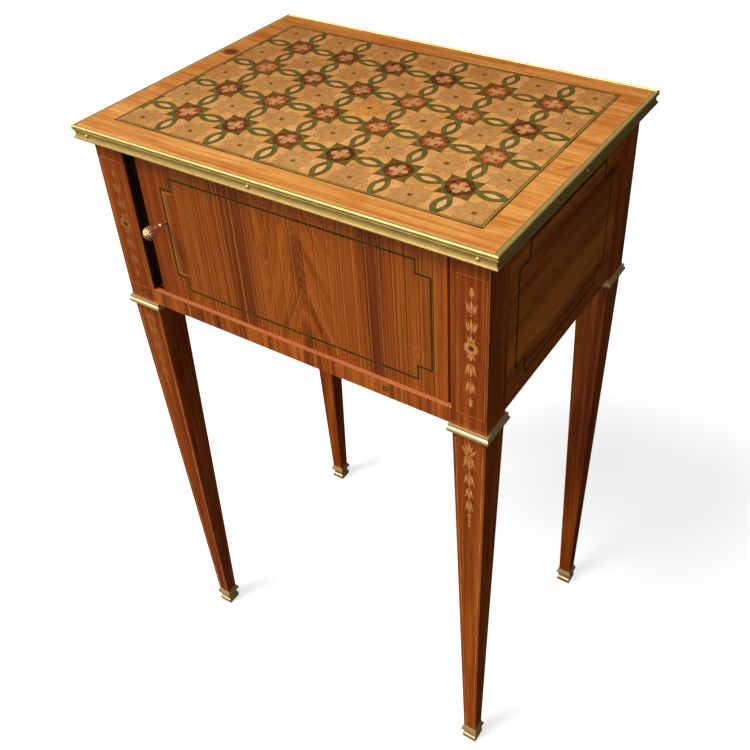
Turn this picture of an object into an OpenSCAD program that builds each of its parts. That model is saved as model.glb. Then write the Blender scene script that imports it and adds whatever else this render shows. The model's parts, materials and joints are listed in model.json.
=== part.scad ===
// Occasional table with a marquetry top and a sliding tambour shutter.
// Origin: on the floor under the middle of the whole outline, knob included. Front is -Y.

/* [Overall] */
// Height of the top's surface above the floor
table_h = 720; // [660:1:790]
// Width over the brass band of the top
top_w = 444; // [400:1:480]
// Depth over the brass band of the top
top_d = 326; // [290:1:360]
// How far the brass band stands out over the faces of the posts
overhang = 12; // [9:0.5:16]

/* [Top] */
// Thickness of the solid core of the top
core_t = 13; // [11:0.5:20]
// Thickness of the veneers laid on the core
veneer_t = 1; // [0.6:0.1:1.5]
// Width of the veneer border, from the brass band to the marquetry field
border_w = 24; // [15:0.1:40]

/* [Brass band] */
// Thickness of the band, from the core's edge to its widest bead
band_t = 5; // [4.5:0.1:6]
// Radius of the bead along the top
bead_r = 1.5; // [1:0.1:1.8]
// Radius of the small beads over and under the hollow
small_bead_r = 0.7; // [0.5:0.1:0.9]
// Height of the fillet along the lower edge
band_fillet_h = 1; // [0.8:0.1:2]
// Depth of the hollow, measured from the widest bead
hollow_depth = 2; // [1.6:0.1:2.6]
// Distance of the end pins from the corners of the top
pin_inset = 17.5; // [10:0.5:40]
// How far the middle pin of the long bands is set from the centre line
pin_offset = 13.5; // [0:0.5:40]
// Diameter of the heads of the pins
pin_d = 4.2; // [3:0.2:5]
// How deep the pins go into the core
pin_bite = 5; // [3:0.5:10]

/* [Case] */
// Height of the case, from its lower edge to the underside of the top
case_h = 181.5; // [140:0.5:220]
// Side of the square posts
post_w = 34.5; // [30:0.5:38]
// Height of the rail under the shutter
bottom_rail_h = 18; // [15:0.5:30]
// Height of the rail over the shutter
top_rail_h = 6.5; // [6:0.5:12]
// Depth of the two front rails, from front to back
rail_d = 22; // [18:0.5:30]
// Thickness of the side panels
side_t = 11.5; // [9:0.5:13]
// Thickness of the back panel
back_t = 8; // [6:0.5:9]
// How far the panels lie behind the faces of the posts
panel_setback = 2; // [1:0.5:3]
// Length of the tongues by which the panels stand in the posts
panel_tongue = 5; // [3:0.5:6]
// Thickness of the floor board of the compartment
floor_t = 12; // [10:0.5:14]
// Thickness of the linings that hide the shutter's way
lining_t = 5; // [3:0.5:6]
// Length of the tenons of the lower front rail
tenon_len = 14; // [8:1:20]

/* [Legs and mounts] */
// How far each leg face lies behind the post face, just under the collar
leg_step = 0.5; // [0:0.1:1.5]
// How far the leg's outer faces have drawn in at the floor
foot_outer_draw = 10.5; // [8:0.5:12]
// Width of the leg where its lines meet the floor
foot_w = 14; // [12:0.5:15]
// Height of the brass collar round the top of each leg
collar_h = 9.5; // [8:0.5:14]
// How far the collar stands out over the post
collar_out = 3.5; // [2.8:0.1:5]
// Height of the brass sabot on each foot
sabot_h = 22; // [20:0.5:30]
// Width of the sabot's swell at its widest
sabot_w = 20; // [19:0.2:23]
// Width of the sabot's base
sabot_base_w = 17; // [16:0.2:19]
// Width of the sabot's neck, which is solid
sabot_neck_w = 13.4; // [12.6:0.2:14.6]
// Thickness of the sabot's lip round the leg
sabot_lip_t = 0.8; // [0.6:0.1:1.2]

/* [Shutter] */
// How far the shutter's face lies behind the faces of the posts
shutter_setback = 4; // [3.5:0.5:6]
// Thickness of the slats and of the leading stile
slat_t = 7; // [6:0.5:8]
// Distance from one slat to the next
slat_pitch = 13.2; // [11:0.05:15]
// Width of the shadow line between two slats
slat_gap = 0.25; // [0.15:0.05:0.6]
// Slats beyond the flat run, which lie round the corner at rest
turned_slats = 4; // [3:1:6]
// Width of the leading stile, which carries the knob
stile_w = 30.8; // [28:0.1:45]
// Radius of the turn, at the backs of the slats
turn_r = 18; // [16:0.5:20]
// Gap by which the shutter stands open at rest
rest_gap = 11; // [8:0.5:20]
// How deep the closed stile goes into the left post
post_rebate = 5; // [3:0.5:7]
// Thickness of the canvas glued to the backs of the slats
canvas_t = 0.6; // [0.4:0.1:1]

/* [Track] */
// Depth of the grooves in which the tongues run
groove_depth = 4.5; // [3.5:0.25:5]
// Thickness of the tongues on the slats
tongue_t = 3.5; // [3:0.25:4]
// Width of the tongue on each slat, along the track
tongue_w = 7; // [5:0.5:8]
// Clearance on each side of a tongue in its groove
tongue_clear = 0.5; // [0.4:0.1:0.8]
// Clearance between the slats and the walls that they pass
slat_clear = 0.6; // [0.5:0.1:0.9]
// Room between the shutter's face and the panels on its way
run_clear = 1.5; // [1.2:0.1:2.5]

/* [Knob and fasteners] */
// Diameter of the knob's fluted head
knob_d = 13.6; // [11:0.2:16]
// Number of flutes round the head
knob_flutes = 14; // [8:1:18]
// Length of the knob, from the stile to its tip
knob_len = 29.4; // [24:0.2:34]
// Distance of the knob's axis from the stile's inner edge
knob_inset = 5.4; // [5:0.2:14]
// Height of the knob's axis above the shutter's sill
knob_rise = 89; // [50:0.5:110]
// Diameter of the wood screws that hold the top
top_screw_d = 4; // [3:0.5:5]
// Diameter of the screw that holds the knob
knob_screw_d = 2.6; // [2:0.2:3]
// Diameter of the plug in the lower front rail
plug_d = 5.6; // [4:0.2:8]
// Distance of the plug from the centre line
plug_x = 107; // [60:1:140]

/* [Hidden] */
$fn = 48;

// Cuts run this far past the faces that they open, and joined solids lap by this little
past = 1;
lap = 0.01;
arc_steps = 10;

// Levels
band_h = core_t + veneer_t;
under_top = table_h - band_h;
case_low = under_top - case_h;
sill = case_low + bottom_rail_h;
head = under_top - top_rail_h;
collar_low = case_low - collar_h;
leg_end = sabot_h * 0.62;

// Plan of the case, from its own centre
core_x = top_w / 2 - band_t;
core_y = top_d / 2 - band_t;
face_x = top_w / 2 - overhang;
face_y = top_d / 2 - overhang;
post_x = face_x - post_w;
post_y = face_y - post_w;
side_in = face_x - panel_setback - side_t;
back_in = face_y - panel_setback - back_t;
field_x = core_x - border_w;
field_y = core_y - border_w;
foot_inner_draw = post_w - foot_outer_draw - foot_w;
foot_x = face_x - foot_outer_draw - foot_w / 2;
foot_y = face_y - foot_outer_draw - foot_w / 2;

// The shutter's way is the line of the slats' backs: along the front, round the right
// front corner, along the right side, round the right back corner, and along the back.
slat_face_y = -face_y + shutter_setback;
front_line = slat_face_y + slat_t;
turn_x = side_in - run_clear - slat_t - turn_r;
side_line = turn_x + turn_r;
back_line = back_in - run_clear - slat_t;
front_turn_y = front_line + turn_r;
back_turn_y = back_line - turn_r;
turn_len = turn_r * PI / 2;
front_run = turn_x + post_x;
side_run = back_turn_y - front_turn_y;

// The shutter at rest
stile_left = -post_x + rest_gap;
stile_right = stile_left + stile_w;
flat_run = turn_x - stile_right;
flat_slats = floor(flat_run / slat_pitch);
slat_count = flat_slats + turned_slats;
shutter_end = front_run + turned_slats * slat_pitch;
open_short = 2;
open_travel = flat_run - open_short;
stop_play = 1;
stop_run = shutter_end + open_travel - front_run - 2 * turn_len - side_run + stop_play;
stop_x = turn_x - stop_run;
knob_x = stile_right - knob_inset;
knob_z = sill + knob_rise;
end_clear = 0.4;
stile_tongue_w = stile_w - 2 * post_rebate - 2;
tongue_len = groove_depth - 0.5;
bevel = 0.4;
tongue_low = (slat_t - tongue_t) / 2;
// A straight tongue needs a wider groove where the track turns
turn_spread = tongue_w * tongue_w / (8 * (turn_r + tongue_low + tongue_t));
corner_spread = slat_pitch * slat_pitch / (8 * (turn_r + slat_t));
canvas_hem = 6;
canvas_lap = 2.5;

// The frame's origin is under the middle of the outline, which the knob makes deeper
knob_tip_y = slat_face_y - knob_len;
frame_shift = (-knob_tip_y - top_d / 2) / 2;

// Heights in the brass band's section, from its lower edge
bead_drop = 0.1;
low_bead_y = band_fillet_h + small_bead_r;
high_bead_y = band_h - bead_drop - 2 * bead_r - small_bead_r;
hollow_y = (low_bead_y + high_bead_y) / 2;
band_back_t = band_t - hollow_depth;
// The hollow is an arc, given by half its chord and by its rise
hollow_chord = (high_bead_y - low_bead_y) / 2 - small_bead_r;
hollow_rise = hollow_depth - small_bead_r;
hollow_r = (hollow_chord * hollow_chord + hollow_rise * hollow_rise) / (2 * hollow_rise);

// Joints of the case: the panels' tongues and the rail's tenons stop short of the edges
tongue_stop = 6;
tenon_shoulder = 2.5;
cleat_w = 10;

// Fastener places and sizes
top_screw_inset = 24;
top_screw_x = post_x - top_screw_inset;
top_screw_y = post_y - top_screw_inset;
top_screw_bite = 8;
head_ratio = 2;
pin_shank_d = 1.2;
plug_len = 8;
plug_z = (case_low + sill) / 2;

// The knob, measured from the stile's face along its own axis
knob_button_t = 0.8;
knob_head_len = knob_d * 0.82;
knob_head_x = (knob_d - knob_head_len) / 2;
knob_neck = knob_len - knob_head_len - knob_button_t;
knob_head_z = knob_neck + knob_head_len / 2;
knob_base_d = 6.4;
knob_base_t = 1.4;
knob_shank_d = 4.6;
knob_ring_d = 6.2;
knob_ring_t = 1.6;
knob_button_d = 5;
knob_screw_bite = 7;

// Where a slat begins, measured along the shutter's way from the left post
function slat_start(i) = i < flat_slats
    ? stile_right + post_x + i * slat_pitch
    : front_run + (i - flat_slats) * slat_pitch;

// The last slat of the flat run takes up what the equal slats leave over
function slat_width(i) = i == flat_slats - 1 ? front_run - slat_start(i) : slat_pitch;

// Heading in degrees, and place, of the shutter's way at a distance s along it
function way_turn(s) = min(max((s - front_run) / turn_len, 0), 1) * 90;
function way_x(s) = s < front_run ? s - post_x : turn_x + turn_r * sin(way_turn(s));
function way_y(s) = s < front_run + turn_len
    ? front_turn_y - turn_r * cos(way_turn(s))
    : front_turn_y + s - front_run - turn_len;

// A quarter of a ring about a turn's centre, between two distances outside the way
module turn_plan(centre_y, from, to, quarter) {
    translate([turn_x, centre_y]) rotate(quarter) intersection() {
        difference() {
            circle(r = turn_r + to);
            circle(r = turn_r + from);
        }
        square(turn_r + to + past);
    }
}

// Plan of a strip along the whole way, between two distances outside the line of the backs
module way_plan(from, to, spread) {
    translate([-post_x, front_line - to]) square([front_run, to - from]);
    turn_plan(front_turn_y, from, to + spread, -90);
    translate([side_line + from, front_turn_y]) square([to - from, side_run]);
    turn_plan(back_turn_y, from, to + spread, 0);
    translate([stop_x, back_line + from]) square([turn_x - stop_x, to - from]);
}

// Grooves for the tongues, cut in everything under the sill and over the head
module track_grooves() {
    translate([0, 0, sill - groove_depth]) linear_extrude(head - sill + 2 * groove_depth)
        way_plan(tongue_low - tongue_clear, tongue_low + tongue_t + tongue_clear, turn_spread);
}

// Room that the slats sweep between sill and head
module slat_room() {
    translate([0, 0, sill]) linear_extrude(head - sill)
        way_plan(-canvas_t - slat_clear, slat_t + slat_clear, corner_spread);
}

// A box given by its lowest and highest corners
module box(low, high) {
    translate(low) cube(high - low);
}

// A square block of width w whose four sides all have the same outline
module four_sided(w) {
    intersection() {
        rotate([90, 0, 0]) linear_extrude(w, center = true) children();
        rotate([90, 0, 90]) linear_extrude(w, center = true) children();
    }
}

module both_halves() {
    children();
    mirror([1, 0]) children();
}

// Core of the top, with holes for its screws and for the band's pins
module top_core() {
    color("peru") difference() {
        box([-core_x, -core_y, under_top], [core_x, core_y, table_h - veneer_t]);
        top_screws();
        band_pins();
    }
}

// Border veneer: a frame round the marquetry field
module top_border_veneer() {
    color("chocolate") difference() {
        box([-core_x, -core_y, table_h - veneer_t], [core_x, core_y, table_h]);
        box([-field_x, -field_y, table_h - 2 * veneer_t], [field_x, field_y, table_h + past]);
    }
}

// Marquetry field inside the border
module top_marquetry_panel() {
    color("burlywood") box([-field_x, -field_y, table_h - veneer_t], [field_x, field_y, table_h]);
}

// Section of the brass band: a bead along the top, a hollow between two small beads, and a
// fillet that stands back below them
module band_section() {
    small_x = band_t - small_bead_r;
    square([band_back_t, band_h - bead_r / 2]);
    translate([band_t - bead_r, band_h - bead_r - bead_drop]) circle(r = bead_r);
    for (y = [low_bead_y, high_bead_y]) translate([small_x, y]) circle(r = small_bead_r);
    difference() {
        translate([0, low_bead_y]) square([small_x, high_bead_y - low_bead_y]);
        translate([band_back_t + hollow_r, hollow_y]) circle(r = hollow_r);
    }
    square([small_x - small_bead_r, low_bead_y]);
}

// One side of the band, mitred at both ends. It lies along X in front of a core that is
// 2 * hx wide and 2 * hy deep.
module band_side(hx, hy) {
    color("goldenrod") intersection() {
        translate([0, -hy, under_top]) rotate([90, 0, -90])
            linear_extrude(2 * (hx + band_t), center = true) band_section();
        translate([0, 0, under_top]) linear_extrude(band_h) polygon([
            [-hx, -hy], [hx, -hy], [hx + band_t, -hy - band_t], [-hx - band_t, -hy - band_t]
        ]);
    }
}

module brass_band_front() {
    difference() {
        band_side(core_x, core_y);
        band_pins();
    }
}

module brass_band_back() {
    rotate(180) brass_band_front();
}

module brass_band_right() {
    difference() {
        rotate(90) band_side(core_y, core_x);
        band_pins();
    }
}

module brass_band_left() {
    rotate(180) brass_band_right();
}

// Places of the band's pins: three on each long side and one on each short side
module at_pins() {
    pin_z = under_top + hollow_y;
    for (turn = [0, 180], x = [pin_inset - top_w / 2, -pin_offset, top_w / 2 - pin_inset])
        rotate(turn) translate([x, -core_y, pin_z]) rotate([90, 0, 0]) children();
    for (turn = [90, -90])
        rotate(turn) translate([0, -core_x, pin_z]) rotate([90, 0, 0]) children();
}

// Pins with round heads, seated in the hollow of the band, with shanks that go into the core
module band_pins() {
    color("gold") at_pins() {
        translate([0, 0, -pin_bite])
            cylinder(d = pin_shank_d, h = pin_bite + band_back_t + pin_d / 4, $fn = 16);
        translate([0, 0, band_back_t]) intersection() {
            sphere(d = pin_d);
            cylinder(d = pin_d, h = pin_d);
        }
    }
}

// Width of a leg at a height under the collar
function leg_w_at(z) = foot_w + (post_w - 2 * leg_step - foot_w) * z / collar_low;

// Outline of a leg from one side: 0 is its outer face, and post_w its inner face
module leg_outline() {
    drawn = 1 - leg_end / collar_low;
    polygon([
        [0, under_top],
        [0, collar_low],
        [leg_step, collar_low],
        [leg_step + (foot_outer_draw - leg_step) * drawn, leg_end],
        [post_w - leg_step - (foot_inner_draw - leg_step) * drawn, leg_end],
        [post_w - leg_step, collar_low],
        [post_w, collar_low],
        [post_w, under_top]
    ]);
}

// Post and tapered leg in one, for the corner at the right and the back
module leg_stick() {
    intersection() {
        translate([face_x, face_y, 0]) mirror([1, 0, 0]) rotate([90, 0, 0])
            linear_extrude(post_w) leg_outline();
        translate([face_x, face_y, 0]) mirror([0, 1, 0]) rotate([90, 0, 90])
            mirror([0, 0, 1]) linear_extrude(post_w) leg_outline();
    }
}

// A corner's own copy of a piece drawn for the right back corner
module corner(side, end) {
    mirror([side < 0 ? 1 : 0, 0, 0]) mirror([0, end < 0 ? 1 : 0, 0]) children();
}

// A leg with its panel grooves, its mortise, and the slot that the shutter passes through
module leg(side, end) {
    color("sienna") difference() {
        corner(side, end) leg_stick();
        corner(side, end) panel_tongue_side();
        if (end > 0) corner(side, end) panel_tongue_back();
        if (end < 0) corner(side, 1) rail_tenon();
        if (side > 0) slat_room();
        if (side > 0) track_grooves();
        if (side < 0 && end < 0) stile_rebate();
    }
}

// Rebate in the left front post for the edge of the closed stile
module stile_rebate() {
    box([-post_x - post_rebate - slat_clear, slat_face_y - slat_clear, sill],
        [-post_x + past, front_line + slat_clear, head]);
}

// Tongue on the end of the right side panel, and the groove that it stands in
module panel_tongue_side() {
    box([side_in + side_t * 0.3, post_y - lap, case_low + tongue_stop],
        [side_in + side_t * 0.7, post_y + panel_tongue, under_top - tongue_stop]);
}

// Tongue on the end of the back panel, and the groove that it stands in
module panel_tongue_back() {
    box([post_x - lap, back_in + back_t * 0.3, case_low + tongue_stop],
        [post_x + panel_tongue, back_in + back_t * 0.7, under_top - tongue_stop]);
}

// Tenon on the right end of the lower front rail
module rail_tenon() {
    box([post_x - lap, -face_y + rail_d * 0.3, case_low + tenon_shoulder],
        [post_x + tenon_len, -face_y + rail_d * 0.7, sill - groove_depth - tenon_shoulder]);
}

// Half outline of the collar: a fat half round under a groove and a thin fillet
module collar_outline() {
    round_r = collar_h * 0.37;
    fillet_h = collar_h * 0.15;
    square([post_w / 2 + collar_out * 0.45, collar_h]);
    translate([post_w / 2 + collar_out - round_r, collar_h * 0.38]) circle(r = round_r);
    translate([0, collar_h - fillet_h]) square([post_w / 2 + collar_out * 0.7, fillet_h]);
}

// Square brass collar round the top of a leg
module collar(side, end) {
    color("goldenrod") corner(side, end) difference() {
        translate([face_x - post_w / 2, face_y - post_w / 2, collar_low])
            four_sided(post_w + 3 * collar_out) both_halves() collar_outline();
        box([post_x, post_y, collar_low - past], [face_x, face_y, case_low + past]);
    }
}

// Points along an arc, between two angles
function arc(centre, r, from, to) = [
    for (i = [0 : arc_steps]) let (turn = from + (to - from) * i / arc_steps)
        centre + r * [cos(turn), sin(turn)]
];

// Outline of the sabot: a base, a cove cut in to the neck, and a swell that slopes up to a thin
// lip round the leg
module sabot_outline() {
    cove_r = sabot_h * 0.19;
    cove = [sabot_neck_w / 2 + cove_r, sabot_h * 0.44];
    cove_turn = acos((sabot_base_w / 2 - cove.x) / cove_r);
    swell_r = sabot_h * 0.118;
    swell = [sabot_w / 2 - swell_r, sabot_h * 0.745];
    swell_start = -65;
    lip = [leg_w_at(sabot_h) / 2 + sabot_lip_t, sabot_h];
    up = lip - swell;
    slope_start = atan2(up.y, up.x) - acos(swell_r / norm(up));
    half = concat(
        [[sabot_base_w / 2, 0]],
        arc(cove, cove_r, 360 - cove_turn, cove_turn),
        arc(swell, swell_r, swell_start, slope_start),
        [lip]
    );
    other_half = [for (i = [len(half) - 1 : -1 : 0]) [-half[i].x, half[i].y]];
    polygon(concat(half, other_half));
}

// Brass sabot, hollowed to take the leg's end
module sabot(side, end) {
    color("goldenrod") corner(side, end) difference() {
        translate([foot_x, foot_y, 0]) four_sided(sabot_w + 2 * past) sabot_outline();
        leg_stick();
    }
}

// Side panel between two posts, drawn for the right side
module side_panel() {
    color("saddlebrown") {
        box([side_in, -post_y, case_low], [side_in + side_t, post_y, under_top]);
        panel_tongue_side();
        mirror([0, 1, 0]) panel_tongue_side();
    }
}

module side_panel_left() {
    mirror([1, 0, 0]) side_panel();
}

module side_panel_right() {
    side_panel();
}

// Back panel between the back posts
module back_panel() {
    color("saddlebrown") {
        box([-post_x, back_in, case_low], [post_x, back_in + back_t, under_top]);
        panel_tongue_back();
        mirror([1, 0, 0]) panel_tongue_back();
    }
}

// Rail under the shutter, tenoned into the posts and grooved for the tongues
module front_bottom_rail() {
    color("brown") {
        difference() {
            box([-post_x, -face_y, case_low], [post_x, rail_d - face_y, sill]);
            track_grooves();
            rail_plug();
        }
        rail_tenon();
        mirror([1, 0, 0]) rail_tenon();
    }
}

// Round plug let in flush with the face of the lower front rail
module rail_plug() {
    color("sienna") translate([plug_x, -face_y, plug_z]) rotate([-90, 0, 0])
        cylinder(d = plug_d, h = plug_len);
}

// Rail over the shutter, glued under the top between the posts
module front_top_rail() {
    color("brown") difference() {
        box([-post_x, -face_y, head], [post_x, rail_d - face_y, under_top]);
        track_grooves();
    }
}

// A board that fills the case behind the front rails, cut out for the posts and the tongues
module case_board(low, high) {
    difference() {
        box([-side_in, rail_d - face_y, low], [side_in, back_in, high]);
        for (side = [-1, 1], end = [-1, 1]) corner(side, end)
            box([post_x, post_y, low - past], [face_x, face_y, high + past]);
        track_grooves();
    }
}

// Floor of the compartment
module floor_board() {
    color("tan") case_board(sill - floor_t, sill);
}

// Board over the compartment, screwed up into the top
module upper_track_board() {
    color("tan") difference() {
        case_board(head, under_top);
        top_screws();
    }
}

// Strips glued to the side panels, which carry the floor board
module floor_cleats() {
    color("tan") for (side = [-1, 1]) corner(side, 1)
        box([side_in - cleat_w, -post_y, case_low], [side_in, post_y, sill - floor_t]);
}

// Lining that hides the shutter's way along the right side
module lining_right() {
    color("tan") box([post_x, -post_y, sill], [post_x + lining_t, post_y, head]);
}

// Lining that hides the shutter's way along the back
module lining_back() {
    color("tan") box([-post_x, post_y, sill], [post_x, post_y + lining_t, head]);
}

// Block at the end of the track that stops the shutter when it is fully open
module shutter_stop() {
    stop_w = 10;
    stop_h = 25;
    color("tan") box([stop_x - stop_w, back_line - 2, sill], [stop_x, back_in, sill + stop_h]);
}

// Screws that hold the top, with countersunk heads flush with the underside of the board
module top_screws() {
    head_h = top_screw_d * 0.7;
    color("dimgray") for (x = [-top_screw_x, top_screw_x], y = [-top_screw_y, top_screw_y])
        translate([x, y, head]) {
            cylinder(d = top_screw_d, h = top_rail_h + top_screw_bite);
            cylinder(d1 = top_screw_d * head_ratio, d2 = top_screw_d, h = head_h);
        }
}

// One slat, stile or strip of the shutter, standing across the way: x is along the way and
// y is outwards from the line of the backs
module shutter_strip(w, tongue) {
    half = w / 2 - slat_gap / 2;
    translate([0, 0, sill + end_clear]) linear_extrude(head - sill - 2 * end_clear)
        polygon([
            [-half, 0], [-half, -slat_t + bevel], [-half + bevel, -slat_t],
            [half - bevel, -slat_t], [half, -slat_t + bevel], [half, 0]
        ]);
    translate([-tongue / 2, -tongue_low - tongue_t, sill - tongue_len])
        cube([tongue, tongue_t, head - sill + 2 * tongue_len]);
}

// Leading stile of the shutter, bored for the knob's screw
module shutter_stile() {
    color("sienna") difference() {
        translate([(stile_left + stile_right) / 2, front_line, 0])
            shutter_strip(stile_w, stile_tongue_w);
        knob_screw();
    }
}

// Slats, each set square to the way at its own middle
module shutter_slats() {
    color("chocolate") for (i = [0 : slat_count - 1]) {
        middle = slat_start(i) + slat_width(i) / 2;
        translate([way_x(middle), way_y(middle), 0]) rotate(way_turn(middle))
            shutter_strip(slat_width(i), tongue_w);
    }
}

// Canvas glued to the backs of the slats and lapped on the stile
module shutter_canvas() {
    first = stile_right - canvas_lap;
    last = shutter_end - front_run - turn_len;
    color("wheat") translate([0, 0, sill + canvas_hem]) linear_extrude(head - sill - 2 * canvas_hem) {
        translate([first, front_line]) square([turn_x - first, canvas_t]);
        turn_plan(front_turn_y, -canvas_t, 0, -90);
        translate([side_line - canvas_t, front_turn_y]) square([canvas_t, last]);
    }
}

// Outline of the knob from its axis: a base, a shank with a ring, a bun-shaped head, a button
module knob_outline() {
    shank_len = knob_neck - knob_base_t;
    swell_r = knob_ring_d * 0.24;
    square([knob_base_d / 2, knob_base_t]);
    square([knob_shank_d / 2, knob_head_z]);
    translate([knob_ring_d / 2 - swell_r, knob_base_t + shank_len * 0.3]) circle(r = swell_r);
    translate([0, knob_base_t + shank_len * 0.65]) square([knob_ring_d / 2, knob_ring_t]);
    intersection() {
        translate([knob_head_x, knob_head_z]) circle(d = knob_head_len);
        translate([0, knob_neck]) square([knob_d, knob_head_len]);
    }
    translate([0, knob_neck]) square([knob_head_x, knob_head_len]);
    square([knob_button_d / 2, knob_len]);
}

// One flute, a groove that follows the round of the head
module knob_flute() {
    flute_r = knob_d * 0.07;
    intersection() {
        translate([knob_head_x, 0, knob_head_z]) rotate([90, 0, 0]) rotate_extrude()
            translate([knob_head_len / 2 + flute_r * 0.35, 0]) circle(r = flute_r);
        box([knob_button_d / 2 + 0.3, -knob_d, knob_neck - knob_d], [knob_d, knob_d, knob_len + knob_d]);
    }
}

// Turned brass knob, fluted round its head, and bored for its screw
module shutter_knob() {
    color("gold") difference() {
        translate([knob_x, slat_face_y, knob_z]) rotate([90, 0, 0]) difference() {
            rotate_extrude() knob_outline();
            for (i = [0 : knob_flutes - 1]) rotate(i * 360 / knob_flutes) knob_flute();
        }
        knob_screw();
    }
}

// Screw through the stile into the knob, with its head let in flush at the back
module knob_screw() {
    head_h = 2;
    color("dimgray") translate([knob_x, front_line, knob_z]) rotate([90, 0, 0]) {
        cylinder(d = knob_screw_d, h = slat_t + knob_screw_bite);
        cylinder(d = knob_screw_d * head_ratio, h = head_h);
    }
}

// Everything above is drawn from the case's centre, and is placed in the frame here
module place() {
    translate([0, frame_shift, 0]) children();
}

place() top_core();
place() top_border_veneer();
place() top_marquetry_panel();
place() brass_band_front();
place() brass_band_back();
place() brass_band_left();
place() brass_band_right();
place() band_pins();
place() leg(-1, -1);  // leg_front_left
place() leg(1, -1);  // leg_front_right
place() leg(-1, 1);  // leg_back_left
place() leg(1, 1);  // leg_back_right
place() collar(-1, -1);  // collar_front_left
place() collar(1, -1);  // collar_front_right
place() collar(-1, 1);  // collar_back_left
place() collar(1, 1);  // collar_back_right
place() sabot(-1, -1);  // sabot_front_left
place() sabot(1, -1);  // sabot_front_right
place() sabot(-1, 1);  // sabot_back_left
place() sabot(1, 1);  // sabot_back_right
place() side_panel_left();
place() side_panel_right();
place() back_panel();
place() front_bottom_rail();
place() rail_plug();
place() front_top_rail();
place() floor_board();
place() upper_track_board();
place() floor_cleats();
place() lining_right();
place() lining_back();
place() shutter_stop();
place() top_screws();
place() shutter_stile();
place() shutter_slats();
place() shutter_canvas();
place() shutter_knob();
place() knob_screw();
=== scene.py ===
"""Looks of an occasional table with a marquetry top and a tambour shutter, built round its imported
model. Sizes are given in millimetres from the middle of the case, and are turned into metres in
the model's frame where a mesh or a pattern is placed."""
import json
import math

import bpy
import numpy as np
from mathutils import Matrix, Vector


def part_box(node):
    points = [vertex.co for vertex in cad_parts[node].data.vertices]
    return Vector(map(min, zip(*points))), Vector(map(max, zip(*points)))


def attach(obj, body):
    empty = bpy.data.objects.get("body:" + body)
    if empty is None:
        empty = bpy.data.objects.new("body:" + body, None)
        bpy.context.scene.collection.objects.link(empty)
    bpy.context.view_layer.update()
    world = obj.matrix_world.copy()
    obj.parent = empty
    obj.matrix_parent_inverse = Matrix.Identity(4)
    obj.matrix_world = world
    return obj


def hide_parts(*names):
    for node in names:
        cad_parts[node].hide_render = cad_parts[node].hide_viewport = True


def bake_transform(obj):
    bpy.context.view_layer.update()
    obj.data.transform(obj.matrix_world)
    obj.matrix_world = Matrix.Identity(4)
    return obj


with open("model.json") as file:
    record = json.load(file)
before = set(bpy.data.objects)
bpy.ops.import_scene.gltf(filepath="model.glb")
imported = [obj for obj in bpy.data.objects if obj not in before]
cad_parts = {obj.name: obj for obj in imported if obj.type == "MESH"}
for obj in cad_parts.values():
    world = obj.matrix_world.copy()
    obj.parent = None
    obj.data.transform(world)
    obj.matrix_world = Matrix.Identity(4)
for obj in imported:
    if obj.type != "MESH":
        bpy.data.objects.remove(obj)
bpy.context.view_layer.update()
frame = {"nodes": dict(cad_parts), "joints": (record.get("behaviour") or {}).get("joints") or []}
parts = frame["nodes"]

# Studio
# The table stands on a plain pale floor in a white room, lit by one broad soft lamp at the upper
# left of the front, and by the room. The camera looks down on it from the front right.
camera_place = (0.47693, -0.65996, 1.09807)
azimuth = math.radians(33.3451)
elevation = math.radians(37.5698)
roll = math.radians(-2.1361)

backward = np.array([math.sin(azimuth) * math.cos(elevation),
                     -math.cos(azimuth) * math.cos(elevation),
                     math.sin(elevation)])
level = np.cross(-backward, (0, 0, 1))
level /= np.linalg.norm(level)
upright = np.cross(level, -backward)
rightward = level * math.cos(roll) + upright * math.sin(roll)
upward = upright * math.cos(roll) - level * math.sin(roll)

lens = bpy.data.cameras.new("camera")
lens.lens = 45.312
lens.sensor_width = 36
lens.shift_x = -0.04845
lens.shift_y = -0.07325
camera = bpy.data.objects.new("camera", lens)
camera.matrix_world = Matrix([
    [rightward[i], upward[i], backward[i], camera_place[i]] for i in range(3)
] + [[0, 0, 0, 1]])
bpy.context.scene.collection.objects.link(camera)
bpy.context.scene.camera = camera
bpy.context.scene.view_settings.view_transform = "Standard"


class Wire:
    """An output of a node. Arithmetic on it adds Math nodes to the same finish."""

    def __init__(self, finish, socket):
        self.finish = finish
        self.socket = socket

    def math(self, operation, *others):
        return self.finish.node("Math", {"operation": operation}, dict(enumerate((self, *others))))

    def __add__(self, other):
        return self.math("ADD", other)

    __radd__ = __add__

    def __sub__(self, other):
        return self.math("SUBTRACT", other)

    def __rsub__(self, other):
        return self.finish.node("Math", {"operation": "SUBTRACT"}, {0: other, 1: self})

    def __mul__(self, other):
        return self.math("MULTIPLY", other)

    __rmul__ = __mul__

    def __truediv__(self, other):
        return self.math("DIVIDE", other)

    def __pow__(self, other):
        return self.math("POWER", other)

    def __abs__(self):
        return self.math("ABSOLUTE")

    def fade(self, start, end):
        """0 where the value is at start, 1 where it is at end, and a smooth step between."""
        return self.finish.node("MapRange", {"interpolation_type": "SMOOTHSTEP"},
                                {"Value": self, "From Min": start, "From Max": end})

    def output(self, name):
        """Another output of the same node."""
        return Wire(self.finish, self.socket.node.outputs[name])


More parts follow.
